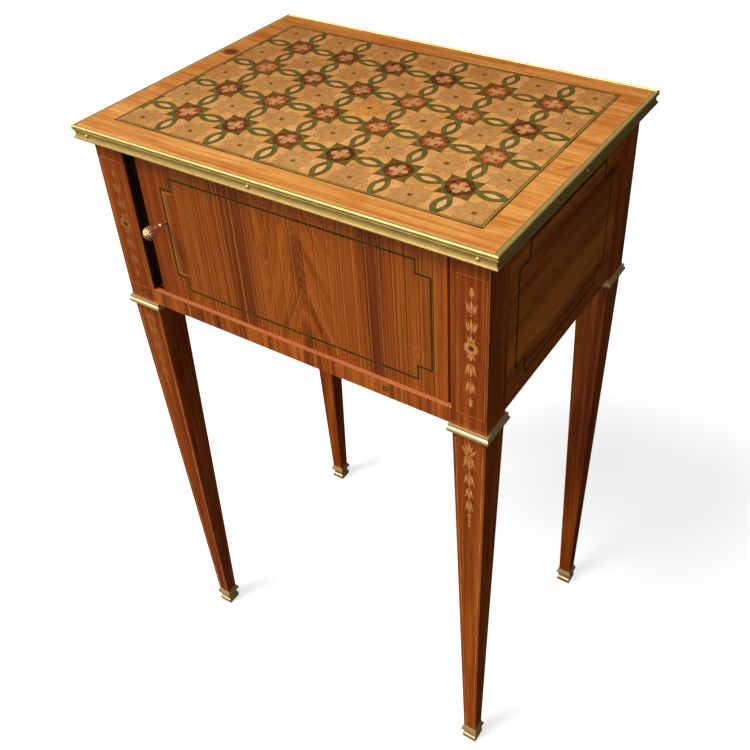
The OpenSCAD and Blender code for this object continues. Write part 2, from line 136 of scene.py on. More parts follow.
class Finish:
    """The nodes of one material, or of the room."""

    def __init__(self, name, owner=None):
        self.material = owner or bpy.data.materials.new(name)
        self.material.use_nodes = True
        self.tree = self.material.node_tree
        self.tree.nodes.clear()

    def node(self, kind, settings=None, sockets=None, output=0):
        """Adds a node of a kind. Its settings are set first, and then its sockets are given
        their values or are linked to wires."""
        node = self.tree.nodes.new("ShaderNode" + kind)
        for name, value in (settings or {}).items():
            if name == "stops":
                ramp = node.color_ramp
                while len(ramp.elements) < len(value):
                    ramp.elements.new(1.0)
                for element, (position, colour) in zip(ramp.elements, value):
                    element.position = position
                    element.color = colour
            else:
                setattr(node, name, value)
        for name, value in (sockets or {}).items():
            if isinstance(value, Wire):
                self.tree.links.new(value.socket, node.inputs[name])
            else:
                node.inputs[name].default_value = value
        return Wire(self, node.outputs[output]) if node.outputs else None

    def mix(self, share, first, second, blend="MIX"):
        """A colour between two others."""
        return self.node("Mix", {"data_type": "RGBA", "blend_type": blend},
                         {0: share, 6: first, 7: second}, 2)

    def ramp(self, value, *stops):
        """A colour that changes with a value. Each stop is a position and a colour."""
        return self.node("ValToRGB", {"stops": stops}, {0: value})


def seen(red, green, blue):
    """The colour that a screen shows for three values from 0 to 255, as a shader counts it."""
    def linear(value):
        share = value / 255
        return share / 12.92 if share <= 0.04045 else ((share + 0.055) / 1.055) ** 2.4
    return (linear(red), linear(green), linear(blue), 1.0)


room = Finish("room", bpy.data.worlds.new("room"))
bpy.context.scene.world = room.material
path = room.node("LightPath", output="Is Camera Ray")
shows_white = (path + path.output("Is Transmission Ray")).math("MINIMUM", 1)
glossy = path.output("Is Glossy Ray")
direction = room.node("TexCoord", output="Generated")
bright_side = (-0.45, -0.55, 0.70)
to_lamp = room.node("VectorMath", {"operation": "DOT_PRODUCT"}, {0: direction, 1: bright_side}, 1)
heading = room.node("SeparateXYZ", None, {0: direction})
soft = to_lamp.fade(-0.5, 1.0) * 0.58 + 0.10
mirrored = to_lamp.fade(0.3, 0.8) * 1.2 + heading.output("Z").fade(0.75, 1.0) * 0.4 + 0.05
strength = soft * (1 - glossy) + mirrored * glossy
strength = strength * (1 - shows_white) + shows_white
room_light = room.node("Background", None, {"Color": (1, 1, 1, 1), "Strength": strength})
room.node("OutputWorld", None, {"Surface": room_light})

lamp_data = bpy.data.lights.new("soft_lamp", "SUN")
lamp_data.energy = 2.5
lamp_data.angle = math.radians(24)
lamp_data.color = (1.0, 0.97, 0.92)
lamp = bpy.data.objects.new("soft_lamp", lamp_data)
lamp_direction = np.array([-0.30, -0.50, 0.81])
lamp_direction /= np.linalg.norm(lamp_direction)
lamp_side = np.cross((0, 0, 1), lamp_direction)
lamp_side /= np.linalg.norm(lamp_side)
lamp_up = np.cross(lamp_direction, lamp_side)
lamp.matrix_world = Matrix([
    [lamp_side[i], lamp_up[i], lamp_direction[i], 2 * lamp_direction[i]] for i in range(3)
] + [[0, 0, 0, 1]])
bpy.context.scene.collection.objects.link(lamp)

floor_reach = 8.0
floor_gap = 0.0002
floor_mesh = bpy.data.meshes.new("floor")
floor_mesh.from_pydata([(x * floor_reach, y * floor_reach, -floor_gap)
                        for x, y in ((-1, -1), (1, -1), (1, 1), (-1, 1))], [], [(0, 1, 2, 3)])
floor = bpy.data.objects.new("floor", floor_mesh)
bpy.context.scene.collection.objects.link(floor)
pale_floor = Finish("pale_floor")
floor_path = pale_floor.node("LightPath", output="Is Camera Ray")
floor_place = pale_floor.node("SeparateXYZ", None, {0: pale_floor.node("TexCoord", output="Object")})
# For every ray but the camera's, the floor's colour is painted light and shade: paler on the lamp's
# side, darker away from it, and darker still in reflections.
lit_side = (floor_place * 0.6 + floor_place.output("Y")).fade(0.25, -0.55)
seen_by_table = pale_floor.ramp(lit_side, (0.0, (0.07, 0.065, 0.06, 1)), (1.0, (0.5, 0.47, 0.42, 1)))
paint = pale_floor.node("BsdfDiffuse", None, {"Color": (0.55, 0.55, 0.55, 1)})
seen_by_table = pale_floor.mix(floor_path.output("Is Glossy Ray") * 0.88, seen_by_table, (0, 0, 0, 1))
shaded_floor = pale_floor.node("BsdfDiffuse", None, {"Color": seen_by_table})
glow = pale_floor.node("Emission", None, {"Color": (1, 1, 1, 1), "Strength": 0.62})
lit = pale_floor.node("AddShader", None, {0: paint, 1: glow})
pale_floor.node("OutputMaterial", None, {
    "Surface": pale_floor.node("MixShader", None, {0: floor_path, 1: shaded_floor, 2: lit})})
floor_mesh.materials.append(pale_floor.material)

# Legs
# Each corner post and its tapered leg are one square stick, veneered on all its faces with a
# reddish, straight-grained wood. The grain runs down the leg, and the arrises are painted paler,
# partly as rubbed wear and partly as a painted highlight.
core_low, core_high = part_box("top_core")
case_y = (core_low.y + core_high.y) / 2 * 1000
table_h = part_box("top_border_veneer")[1].z * 1000
leg_low, leg_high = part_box("leg_front_right")
post_w = (leg_high.x - leg_low.x) * 1000
face_x = leg_high.x * 1000
face_y = case_y - leg_low.y * 1000
collar_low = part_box("collar_front_right")[0].z * 1000
leg_step = 0.5
outer_draw = 10.5
inner_draw = 10.0


def table_place(finish):
    """The place on the table in millimetres from the middle of the case."""
    own = finish.node("TexCoord", output="Object")
    return finish.node("VectorMath", {"operation": "MULTIPLY_ADD"},
                       {0: own, 1: (1000, 1000, 1000), 2: (0, -case_y, 0)})


def stretched_noise(finish, place, periods, detail=2.0, seed=0.0):
    """Noise whose patches have a size in millimetres along each of the three axes."""
    scaled = finish.node("VectorMath", {"operation": "MULTIPLY_ADD"},
                         {0: place, 1: [1 / p for p in periods], 2: (seed, seed * 1.7, -seed)})
    return finish.node("TexNoise", None,
                       {"Vector": scaled, "Scale": 1.0, "Detail": detail, "Roughness": 0.55})


def veneer(finish, place, axis, stops, width, seed, wander=0.0):
    """Colour of a veneer whose grain runs along an axis: broad bands, streaks of a width and fine
    fibres, each a noise drawn out along the grain, with dark pores cut in. The grain may wander
    sideways by some millimetres. Returns colour and height."""
    def along(across, length, detail, shift):
        periods = [across] * 3
        periods[axis] = length
        return stretched_noise(finish, place, periods, detail, seed + shift)
    if wander:
        drift = stretched_noise(finish, place, (60, 60, 60), 1.0, seed + 9)
        push = [wander] * 3
        push[axis] = 0
        drift = finish.node("VectorMath", {"operation": "MULTIPLY"},
                            {0: drift.output("Color"), 1: push})
        place = finish.node("VectorMath", {"operation": "ADD"}, {0: place, 1: drift})
    bands = along(width * 5, width * 60, 1.0, 0.0)
    streaks = along(width, width * 70, 3.0, 3.1)
    fibres = along(0.9, 70, 2.0, 5.3)
    tone = bands * 0.42 + streaks * 0.58 + (fibres - 0.5) * 0.22
    colour = finish.ramp(tone.fade(0.30, 0.70), *stops)
    pores = along(0.5, 9, 0.0, 7.7).fade(0.60, 0.72)
    colour = finish.mix(pores * 0.22, colour, seen(45, 20, 10))
    return colour, fibres * 0.6 - pores * 0.7


def polish(finish, colour, roughness, height=None, relief=0.02, shine=0.25, metal=0.0):
    """Ends a material: its colour, its roughness, a fine relief in millimetres, and how strongly
    its surface shines."""
    sockets = {"Base Color": colour, "Roughness": roughness, "Specular IOR Level": shine,
               "Metallic": metal}
    if height is not None:
        sockets["Normal"] = finish.node("Bump", None, {
            "Strength": 1.0, "Distance": relief / 1000, "Height": height})
    shader = finish.node("BsdfPrincipled", None, sockets)
    finish.node("OutputMaterial", None, {"Surface": shader})
    return finish.material


def dress(names, material):
    """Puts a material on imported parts, in every slot that they have."""
    for name in names:
        slots = parts[name].material_slots
        if not slots:
            parts[name].data.materials.append(material)
        for slot in slots:
            slot.material = material


leg_wood = Finish("leg_veneer")
place = table_place(leg_wood)
spot = leg_wood.node("SeparateXYZ", None, {0: place})
x, y, z = spot, spot.output("Y"), spot.output("Z")
colour, height = veneer(leg_wood, place, 2, (
    (0.0, seen(108, 42, 4)), (0.4, seen(138, 60, 6)), (0.75, seen(157, 74, 10)),
    (1.0, seen(176, 90, 20))), width=3.2, seed=2.0)
drop = (collar_low - z).math("MAXIMUM", 0) / collar_low
outer = drop * (outer_draw - leg_step) + leg_step * 0.5
# Paler near each arris, in patches: rubbed wear and a painted highlight together.
near_arris = (face_x - outer - abs(x)).math("MAXIMUM", face_y - outer - abs(y)).fade(1.0, 0.2)
wear_and_highlight = stretched_noise(leg_wood, place, (9, 9, 30), 3.0, 4.0).fade(0.35, 0.65)
colour = leg_wood.mix(near_arris * (0.2 + wear_and_highlight * 0.45), colour, seen(186, 108, 52))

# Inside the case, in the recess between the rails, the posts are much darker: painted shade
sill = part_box("front_bottom_rail")[1].z * 1000
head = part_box("front_top_rail")[0].z * 1000
inside = (z - sill).fade(-0.4, 0.2) * (z - head).fade(0.4, -0.2)
inside = (face_y - abs(y)).fade(0.4, 1.4) * inside * (face_x - abs(x)).fade(6.5, 12.5)
colour = leg_wood.mix(inside, colour, seen(58, 36, 20))
corners = ("front_left", "front_right", "back_left", "back_right")
dress([f"leg_{corner}" for corner in corners],
      polish(leg_wood, colour, 0.42 - near_arris * 0.08, height))

# Inlay on the posts and legs
# Pale wood let in flush: a fine line round the face of each post, a line inside each edge of the
# leg, and a string of buds, tulips, a daisy and hanging bellflowers, shaded by scorching in sand.
proud = 0.04
inlay_t = 0.5
string_w = 0.55
leg_string_w = 1.1
button_rise = 0.03


def solid_sheet(name, grids, outwards, material):
    """Makes one piece of several flat sheets. Each is a grid of points in metres, and its U runs
    across it and its V along it. The sheets face outwards, and are given their thickness."""
    points = []
    quads = []
    uvs = []
    count = 0
    for grid in grids:
        rows, columns, _ = grid.shape
        index = count + np.arange(rows * columns).reshape(rows, columns)
        quad = np.stack([index[:-1, :-1], index[:-1, 1:], index[1:, 1:], index[1:, :-1]], -1)
        middle = (rows - 1) // 2
        side = (columns - 1) // 2
        across = grid[middle, side + 1] - grid[middle, side]
        down = grid[middle + 1, side] - grid[middle, side]
        if np.dot(np.cross(across, down), outwards) < 0:
            quad = quad[..., ::-1]
        points.append(grid.reshape(-1, 3))
        quads.append(quad.reshape(-1, 4))
        v, u = np.meshgrid(np.linspace(0, 1, rows), np.linspace(0, 1, columns), indexing="ij")
        uvs.append(np.stack([u, v], -1).reshape(-1, 2))
        count += rows * columns
    points, quads, uvs = np.concatenate(points), np.concatenate(quads), np.concatenate(uvs)
    mesh = bpy.data.meshes.new(name)
    mesh.from_pydata(points.tolist(), [], quads.tolist())
    layer = mesh.uv_layers.new(name="pattern")
    layer.data.foreach_set("uv", uvs[quads.reshape(-1)].astype(np.float32).reshape(-1))
    mesh.materials.append(material)
    piece = bpy.data.objects.new(name, mesh)
    bpy.context.scene.collection.objects.link(piece)
    solidify = piece.modifiers.new("thickness", "SOLIDIFY")
    solidify.thickness = inlay_t / 1000
    solidify.offset = -1
    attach(piece, "case")


def curved_leaf(route, width, fullness=0.7):
    """A leaf along a Bezier curve with four control points. Its half width is that of a sine arch
    whose top is shifted towards the base by a fullness under 1 and towards the tip by one over 1."""
    a, b, c, d = (np.array(corner, float) for corner in route)
    t = np.linspace(0.0, 1.0, 13)[:, None]
    line = a * (1 - t) ** 3 + 3 * b * t * (1 - t) ** 2 + 3 * c * t ** 2 * (1 - t) + d * t ** 3
    heading = 3 * (b - a) * (1 - t) ** 2 + 6 * (c - b) * t * (1 - t) + 3 * (d - c) * t ** 2
    across = np.stack([-heading[:, 1], heading[:, 0]], -1)
    across /= np.linalg.norm(across, axis=1)[:, None]
    half = width / 2 * np.sin(math.pi * t ** fullness) ** 0.8
    return np.stack([line - across * half, line, line + across * half], 1)


def leaf(base, tip, width, fullness=0.7):
    """A straight leaf between two points."""
    base, tip = np.array(base, float), np.array(tip, float)
    return curved_leaf([base, base * 2 / 3 + tip / 3, base / 3 + tip * 2 / 3, tip], width, fullness)


def pair(route, width, fullness=0.7):
    """A curved leaf and its twin on the other side of the middle line."""
    return [curved_leaf([(side * across, z) for across, z in route], width, fullness)
            for side in (-1, 1)]


def button(centre, radius):
    """A round button: a polar grid from the middle to the rim."""
    reach = np.linspace(0.02, radius, 3)[:, None]
    angle = np.linspace(0, 2 * math.pi, 17)[None, :]
    return np.stack([centre[0] + reach * np.cos(angle), centre[1] + reach * np.sin(angle)], -1)


def tulip(low, high, width):
    """A tulip seen from the side: a pointed lobe, two more against it, and two outer leaves that
    rise from the foot as a cup and curl out at their tips."""
    h = high - low
    half = width / 2
    return ([leaf((0, low + h * 0.12), (0, high), width * 0.18)]
            + pair([(0.2, low + h * 0.12), (half * 0.42, low + h * 0.2), (half * 0.30, low + h * 0.5),
                    (half * 0.46, low + h * 0.8)], width * 0.1)
            + pair([(0.1, low), (half * 0.95, low + h * 0.08), (half * 0.38, low + h * 0.62),
                    (half, low + h * 0.74)], width * 0.15, 0.85)
            + [button((0, low + h * 0.05), width * 0.07)])


def bellflower(low, high, width):
    """A bellflower that hangs from narrow shoulders: two outer petals that flare at the mouth,
    a pointed one in the middle, and two slips between them."""
    h = high - low
    half = width / 2
    return ([leaf((0, high - h * 0.1), (0, low), width * 0.2, 1.1)]
            + pair([(half * 0.12, high), (half * 0.72, high - h * 0.06), (half * 0.42, low + h * 0.5),
                    (half, low + h * 0.13)], width * 0.16, 1.1)
            + pair([(half * 0.1, high - h * 0.12), (half * 0.42, high - h * 0.2),
                    (half * 0.36, low + h * 0.4), (half * 0.44, low + h * 0.16)], width * 0.1)
            + [button((0, high - h * 0.04), width * 0.08)])


def daisy(middle, radius):
    """A daisy: a ring of twelve petals, broadest near their tips, round an open middle."""
    eye = 1.9
    return [leaf((eye * math.sin(a), middle + eye * math.cos(a)),
                 (radius * math.sin(a), middle + radius * math.cos(a)), radius * 0.42, 1.5)
            for a in np.arange(12) * math.pi / 6]


def down_the_leg(side, end, along_x):
    """Gives the function that lays points, as a distance from the middle line of a leg's face
    and a height, on that face. The face looks along X or along Y."""
    def lay(points):
        across, z = points[..., 0], points[..., 1]
        share = np.clip((collar_low - z) / collar_low, 0, 1)
        below = z < collar_low
        outer_in = below * (leg_step + (outer_draw - leg_step) * share)
        inner_in = below * (leg_step + (inner_draw - leg_step) * share)
        from_corner = (outer_in + post_w - inner_in) / 2 + across
        out = proud - outer_in
        if along_x:
            x, y = side * (face_x + out), end * (face_y - from_corner)
        else:
            x, y = side * (face_x - from_corner), end * (face_y + out)
        return np.stack([x, y + case_y, z], -1) / 1000
    return lay


def line_strip(points, width):
    """A line of even width through points. At each bend both edges meet on the mitre."""
    points = np.array(points, float)
    steps = np.diff(points, axis=0)
    steps /= np.linalg.norm(steps, axis=1)[:, None]
    before = np.concatenate([steps[:1], steps])
    after = np.concatenate([steps, steps[-1:]])
    if np.allclose(points[0], points[-1]):
        before[0] = steps[-1]
        after[-1] = steps[0]
    mitre = before + after
    mitre = np.stack([-mitre[:, 1], mitre[:, 0]], -1)
    normal = np.stack([-after[:, 1], after[:, 0]], -1)
    mitre /= (mitre * normal).sum(1)[:, None]
    edge = mitre * width / 2
    return np.stack([points - edge, points + edge], 1)


def inlay(name, low, high, scorched):
    """Pale wood for inlay, scorched towards the rim and the foot of each piece."""
    wood = Finish(name)
    where = wood.node("SeparateXYZ", None, {0: wood.node("UVMap", {"uv_map": "pattern"})})
    to_rim = abs(where - 0.5) * 2
    scorch = to_rim.fade(0.35, 1.0) * 0.45 + where.output("Y").fade(0.35, 0.0) * 0.35
    speckle = stretched_noise(wood, table_place(wood), (0.8, 0.8, 9), 2.0)
    colour = wood.ramp(speckle.fade(0.3, 0.7), (0.0, low), (1.0, high))
    colour = wood.mix(scorch, colour, scorched)
    return polish(wood, colour, 0.4, speckle, 0.01)


def string_inlay(name, low, high):
    """Stringing: a line of plain wood."""
    wood = Finish(name)
    speckle = stretched_noise(wood, table_place(wood), (3, 3, 25), 3.0)
    colour = wood.ramp(speckle.fade(0.35, 0.65), (0.0, low), (1.0, high))
    return polish(wood, colour, 0.4, speckle, 0.01)


satinwood_inlay = inlay("inlaid_satinwood", seen(196, 122, 60), seen(224, 156, 90), seen(146, 78, 28))
worn_inlay = inlay("inlaid_satinwood_worn", seen(158, 92, 38), seen(182, 114, 54), seen(112, 60, 20))
# Darker copies of the satinwood and the stringing, for the side faces of the legs: painted shade.
shaded_inlay = inlay("inlaid_satinwood_shaded", seen(120, 64, 22), seen(140, 80, 30), seen(100, 50, 14))
pale_stringing = string_inlay("inlaid_stringing", seen(168, 92, 36), seen(200, 124, 58))
shaded_stringing = string_inlay("inlaid_stringing_shaded", seen(122, 66, 24), seen(146, 82, 34))

dark_button = Finish("stained_button")
speckle = stretched_noise(dark_button, table_place(dark_button), (1.5, 1.5, 1.5), 2.0)
colour = dark_button.ramp(speckle, (0.3, seen(62, 42, 12)), (0.7, seen(94, 68, 24)))
stained_button = polish(dark_button, colour, 0.4)

post_string = (
    [leaf((0, 667.2), (0, 676.8), 4.6, 0.6), button((0, 666.0), 0.9)]
    + tulip(651.1, 664.3, 11.6) + [button((0, 649.0), 0.9)]
    + tulip(633.0, 646.2, 12.6) + [button((0, 631.4), 0.8)]
    + [leaf((0, 621.6), (0, 629.8), 2.6)]
    + pair([(0.3, 621.8), (2.4, 622.0), (2.4, 625.4), (3.8, 627.4)], 2.0)
    + daisy(615.8, 7.0)
    + [leaf((0, 609.6), (0, 601.8), 2.6)]
    + pair([(0.3, 609.2), (2.4, 609.0), (2.4, 606.0), (3.6, 604.0)], 2.0)
    + bellflower(584.9, 599.6, 11.2) + [button((0, 582.6), 0.9)]
    + bellflower(565.5, 580.2, 10.8) + [button((0, 562.8), 0.8)]
    + [leaf((0, 560.8), (0, 551.6), 3.4, 1.3)]
    + pair([(0.2, 561.0), (1.6, 561.0), (1.5, 558.4), (2.3, 556.8)], 1.1))
post_button = [button((0, 615.8), 2.4)]
leg_string = (
    [leaf((0, 496.6), (0, 508.2), 2.9, 0.8)]
    + pair([(0.3, 496.0), (2.8, 497.0), (2.2, 502.0), (3.7, 505.8)], 2.0)
    + pair([(0.4, 494.6), (5.4, 494.2), (4.8, 499.6), (7.5, 502.0)], 2.4)
    + pair([(0.3, 493.4), (3.2, 492.4), (4.0, 495.2), (5.8, 496.8)], 1.7)
    + bellflower(472.9, 491.6, 12.9) + [button((0, 470.2), 1.0)]
    + bellflower(451.4, 467.6, 12.0) + [button((0, 449.9), 0.8)]
    + bellflower(433.6, 448.6, 8.8) + [button((0, 432.5), 0.7)]
    + bellflower(414.5, 431.6, 9.0) + [button((0, 411.9), 1.3)]
    + pair([(0.2, 408.0), (1.2, 409.0), (1.4, 411.0), (2.3, 412.2)], 1.1)
    + [button((0, 406.4), 1.0), leaf((0, 405.2), (0, 399.6), 2.6, 1.2),
       leaf((0, 399.4), (0, 394.4), 2.0, 1.2)])
post_shift = np.array([-1.2, 0.0])
frame_low, frame_high = 541.1, 686.1
frame_outer, frame_inner = -14.6, 11.6
post_frame = line_strip([(frame_outer, frame_low), (frame_inner, frame_low), (frame_inner, frame_high),
                         (frame_outer, frame_high), (frame_outer, frame_low)], string_w)
edge_top, edge_end, edge_inset = 509.8, 24.0, 2.8


def leg_edge_line(hand):
    """A line inside one edge of the tapered leg, which follows its taper."""
    heights = np.array([edge_top, edge_end])
    share = (collar_low - heights) / collar_low
    half = (post_w - 2 * leg_step - (outer_draw + inner_draw - 2 * leg_step) * share) / 2
    return line_strip(np.stack([hand * (half - edge_inset), heights], -1), leg_string_w)


for name, side, end in (("front_left", -1, -1), ("front_right", 1, -1),
                        ("back_left", -1, 1), ("back_right", 1, 1)):
    for word, along_x in (("side", True), (name.split("_")[0], False)):
        lay = down_the_leg(side, end, along_x)
        out = (side, 0, 0) if along_x else (0, end, 0)
        title = f"{name}_leg_{word}" if along_x else f"{name}_leg_face"
        motif = [lay(grid + post_shift) for grid in post_string] + [lay(grid) for grid in leg_string]
        # The side faces take the darker copies of the inlay: painted shade.
        look = shaded_inlay if along_x else worn_inlay if name == "front_left" else satinwood_inlay
        solid_sheet(f"husks_{title}", motif, out, look)
        rise = np.array(out) * button_rise / 1000
        solid_sheet(f"husk_button_{title}", [lay(grid + post_shift) + rise for grid in post_button],
                    out, stained_button)
        solid_sheet(f"stringing_{title}",
                    [lay(grid) for grid in (post_frame, leg_edge_line(-1), leg_edge_line(1))], out,
                    shaded_stringing if along_x else pale_stringing)

# Side and back panels
# Boards between the posts, veneered with the grain running level. A dark green line with stepped
# corners is let into each of them.
panel_wood = Finish("panel_veneer")
place = table_place(panel_wood)
stops = ((0.0, seen(106, 50, 14)), (0.4, seen(142, 72, 20)), (0.75, seen(168, 92, 28)),
         (1.0, seen(190, 110, 38)))
colour, height = veneer(panel_wood, place, 1, stops, width=9.0, seed=4.4, wander=9.0)
dress(["side_panel_left", "side_panel_right"], polish(panel_wood, colour, 0.36, height))

back_wood = Finish("back_veneer")
colour, height = veneer(back_wood, table_place(back_wood), 0, stops, width=9.0, seed=6.1, wander=9.0)
dress(["back_panel"], polish(back_wood, colour, 0.4, height))

green_line = Finish("inlaid_green_line")
speckle = stretched_noise(green_line, table_place(green_line), (6, 6, 6), 3.0)
colour = green_line.ramp(speckle, (0.3, seen(34, 30, 8)), (0.7, seen(58, 54, 18)))
green_inlay = polish(green_line, colour, 0.42, speckle, 0.01)


def stepped_frame(left, right, low, high, step_across, step_up, width):
    """A closed line round an oblong whose four corners step in."""
    a, b = step_across, step_up
    return line_strip([
        (left + a, low), (right - a, low), (right - a, low + b), (right, low + b), (right, high - b),
        (right - a, high - b), (right - a, high), (left + a, high), (left + a, high - b),
        (left, high - b), (left, low + b), (left + a, low + b), (left + a, low)], width)


line_heights = (543, 683)
line_steps = (19, 18)
line_w = 2.4
side_reach, back_reach = 96.2, 155
panel_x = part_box("side_panel_right")[1].x * 1000 + proud
panel_line = stepped_frame(-side_reach, side_reach, *line_heights, *line_steps, line_w)
for side, word in ((-1, "left"), (1, "right")):
    spread = np.stack([np.full(panel_line.shape[:2], side * panel_x),
                       panel_line[..., 0] + case_y, panel_line[..., 1]], -1) / 1000
    solid_sheet(f"green_line_{word}", [spread], (side, 0, 0), green_inlay)
back_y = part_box("back_panel")[1].y * 1000 + proud
back_line = stepped_frame(-back_reach, back_reach, *line_heights, *line_steps, line_w)
spread = np.stack([back_line[..., 0], np.full(back_line.shape[:2], back_y),
                   back_line[..., 1]], -1) / 1000
solid_sheet("green_line_back", [spread], (0, 1, 0), green_inlay)

# Front rails
# The lower rail is cross-banded, so that its grain stands upright, with strong dark streaks, and a
# round plug fills a hole in its face. The shutter's tongues run in a groove in each rail.
rail_wood = Finish("rail_veneer")
place = table_place(rail_wood)
colour, height = veneer(rail_wood, place, 2, (
    (0.0, seen(94, 36, 6)), (0.4, seen(146, 68, 12)), (0.7, seen(172, 88, 20)),
    (1.0, seen(190, 106, 34))), width=3.4, seed=8.0)
rail_z = rail_wood.node("SeparateXYZ", None, {0: place}).output("Z")
# The top edge and ledge of the lower rail are painted paler: a painted highlight where the light falls.
on_ledge = rail_z.fade(sill - 0.9, sill - 0.2)
ledge_highlight = stretched_noise(rail_wood, place, (50, 1.0, 3), 2.0).fade(0.3, 0.7)
ledge_highlight = rail_wood.ramp(ledge_highlight, (0.0, seen(176, 96, 54)), (1.0, seen(206, 124, 78)))
colour = rail_wood.mix(on_ledge, colour, ledge_highlight)
dress(["front_bottom_rail", "front_top_rail"], polish(rail_wood, colour, 0.4, height))

plug_low, plug_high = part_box("rail_plug")
plug = Finish("plug_wood")
place = table_place(plug)
spot = plug.node("SeparateXYZ", None, {0: place})
plug_x = (plug_low.x + plug_high.x) * 500
plug_z = (plug_low.z + plug_high.z) * 500
plug_r = 2.8
from_axis = ((spot - plug_x) ** 2 + (spot.output("Z") - plug_z) ** 2) ** 0.5
speckle = stretched_noise(plug, place, (1.2, 1.2, 4), 2.0)
colour = plug.ramp(from_axis / plug_r + (speckle - 0.5) * 0.3, (0.3, seen(150, 92, 50)),
                   (0.62, seen(96, 50, 24)), (0.85, seen(34, 16, 8)))
dress(["rail_plug"], polish(plug, colour, 0.5))

# Carcase
# Plain pale boards inside the case: the floor, the board over the compartment, the cleats, the
# linings that hide the shutter's way, the block that stops it, and the core of the top. Steel
# screws hold the top and the knob.
carcase = Finish("carcase_wood")
place = table_place(carcase)
colour, height = veneer(carcase, place, 0, (
    (0.0, seen(112, 78, 46)), (0.5, seen(150, 110, 68)), (1.0, seen(182, 142, 94))),
    width=8.0, seed=1.0, wander=6.0)
carcase_look = polish(carcase, colour, 0.62, height, 0.04)
dress(["top_core", "floor_board", "upper_track_board", "floor_cleats", "lining_back",
       "shutter_stop", "lining_right"], carcase_look)

steel = Finish("steel")
place = table_place(steel)
speckle = stretched_noise(steel, place, (0.6, 0.6, 0.6), 2.0)
colour = steel.ramp(speckle, (0.3, seen(96, 94, 90)), (0.7, seen(150, 148, 144)))
dress(["top_screws", "knob_screw"], polish(steel, colour, 0.4, speckle, 0.02, metal=1.0))

# Shutter
# A leading stile and thin upright slats, glued to a canvas. Their veneer was laid in one sheet
# before it was sawn, so its figure and the green line with stepped corners run across them all.
slat_pitch = 13.2
slat_gap = 0.25
slat_t = 7.0
slat_bevel = 0.45
tongue_t = 3.5
tongue_w = 7.0
tongue_len = 4.0
canvas_t = 0.6
turn_x = 170.0
turn_r = 18.0
turned_slats = 4
end_clear = 0.4
canvas_hem = 6.0
canvas_lap = 0.6
canvas_step = 0.03
stile_low, stile_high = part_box("shutter_stile")
stile_right = stile_high.x * 1000 + slat_gap / 2
slat_face_y = stile_low.y * 1000 - case_y
front_line = slat_face_y + slat_t
line_left, line_right = -138.2, 154.5
line_low, line_high = 556.9, 682.0
line_step_left, line_step_right = 13.2, 14.5
line_step_low, line_step_high = 14.6, 13.5
line_half = 1.0
gold_inset = 2.9
flame_x = 17
apex_z = 618
small_arch_x, small_arch_z = 141, 584


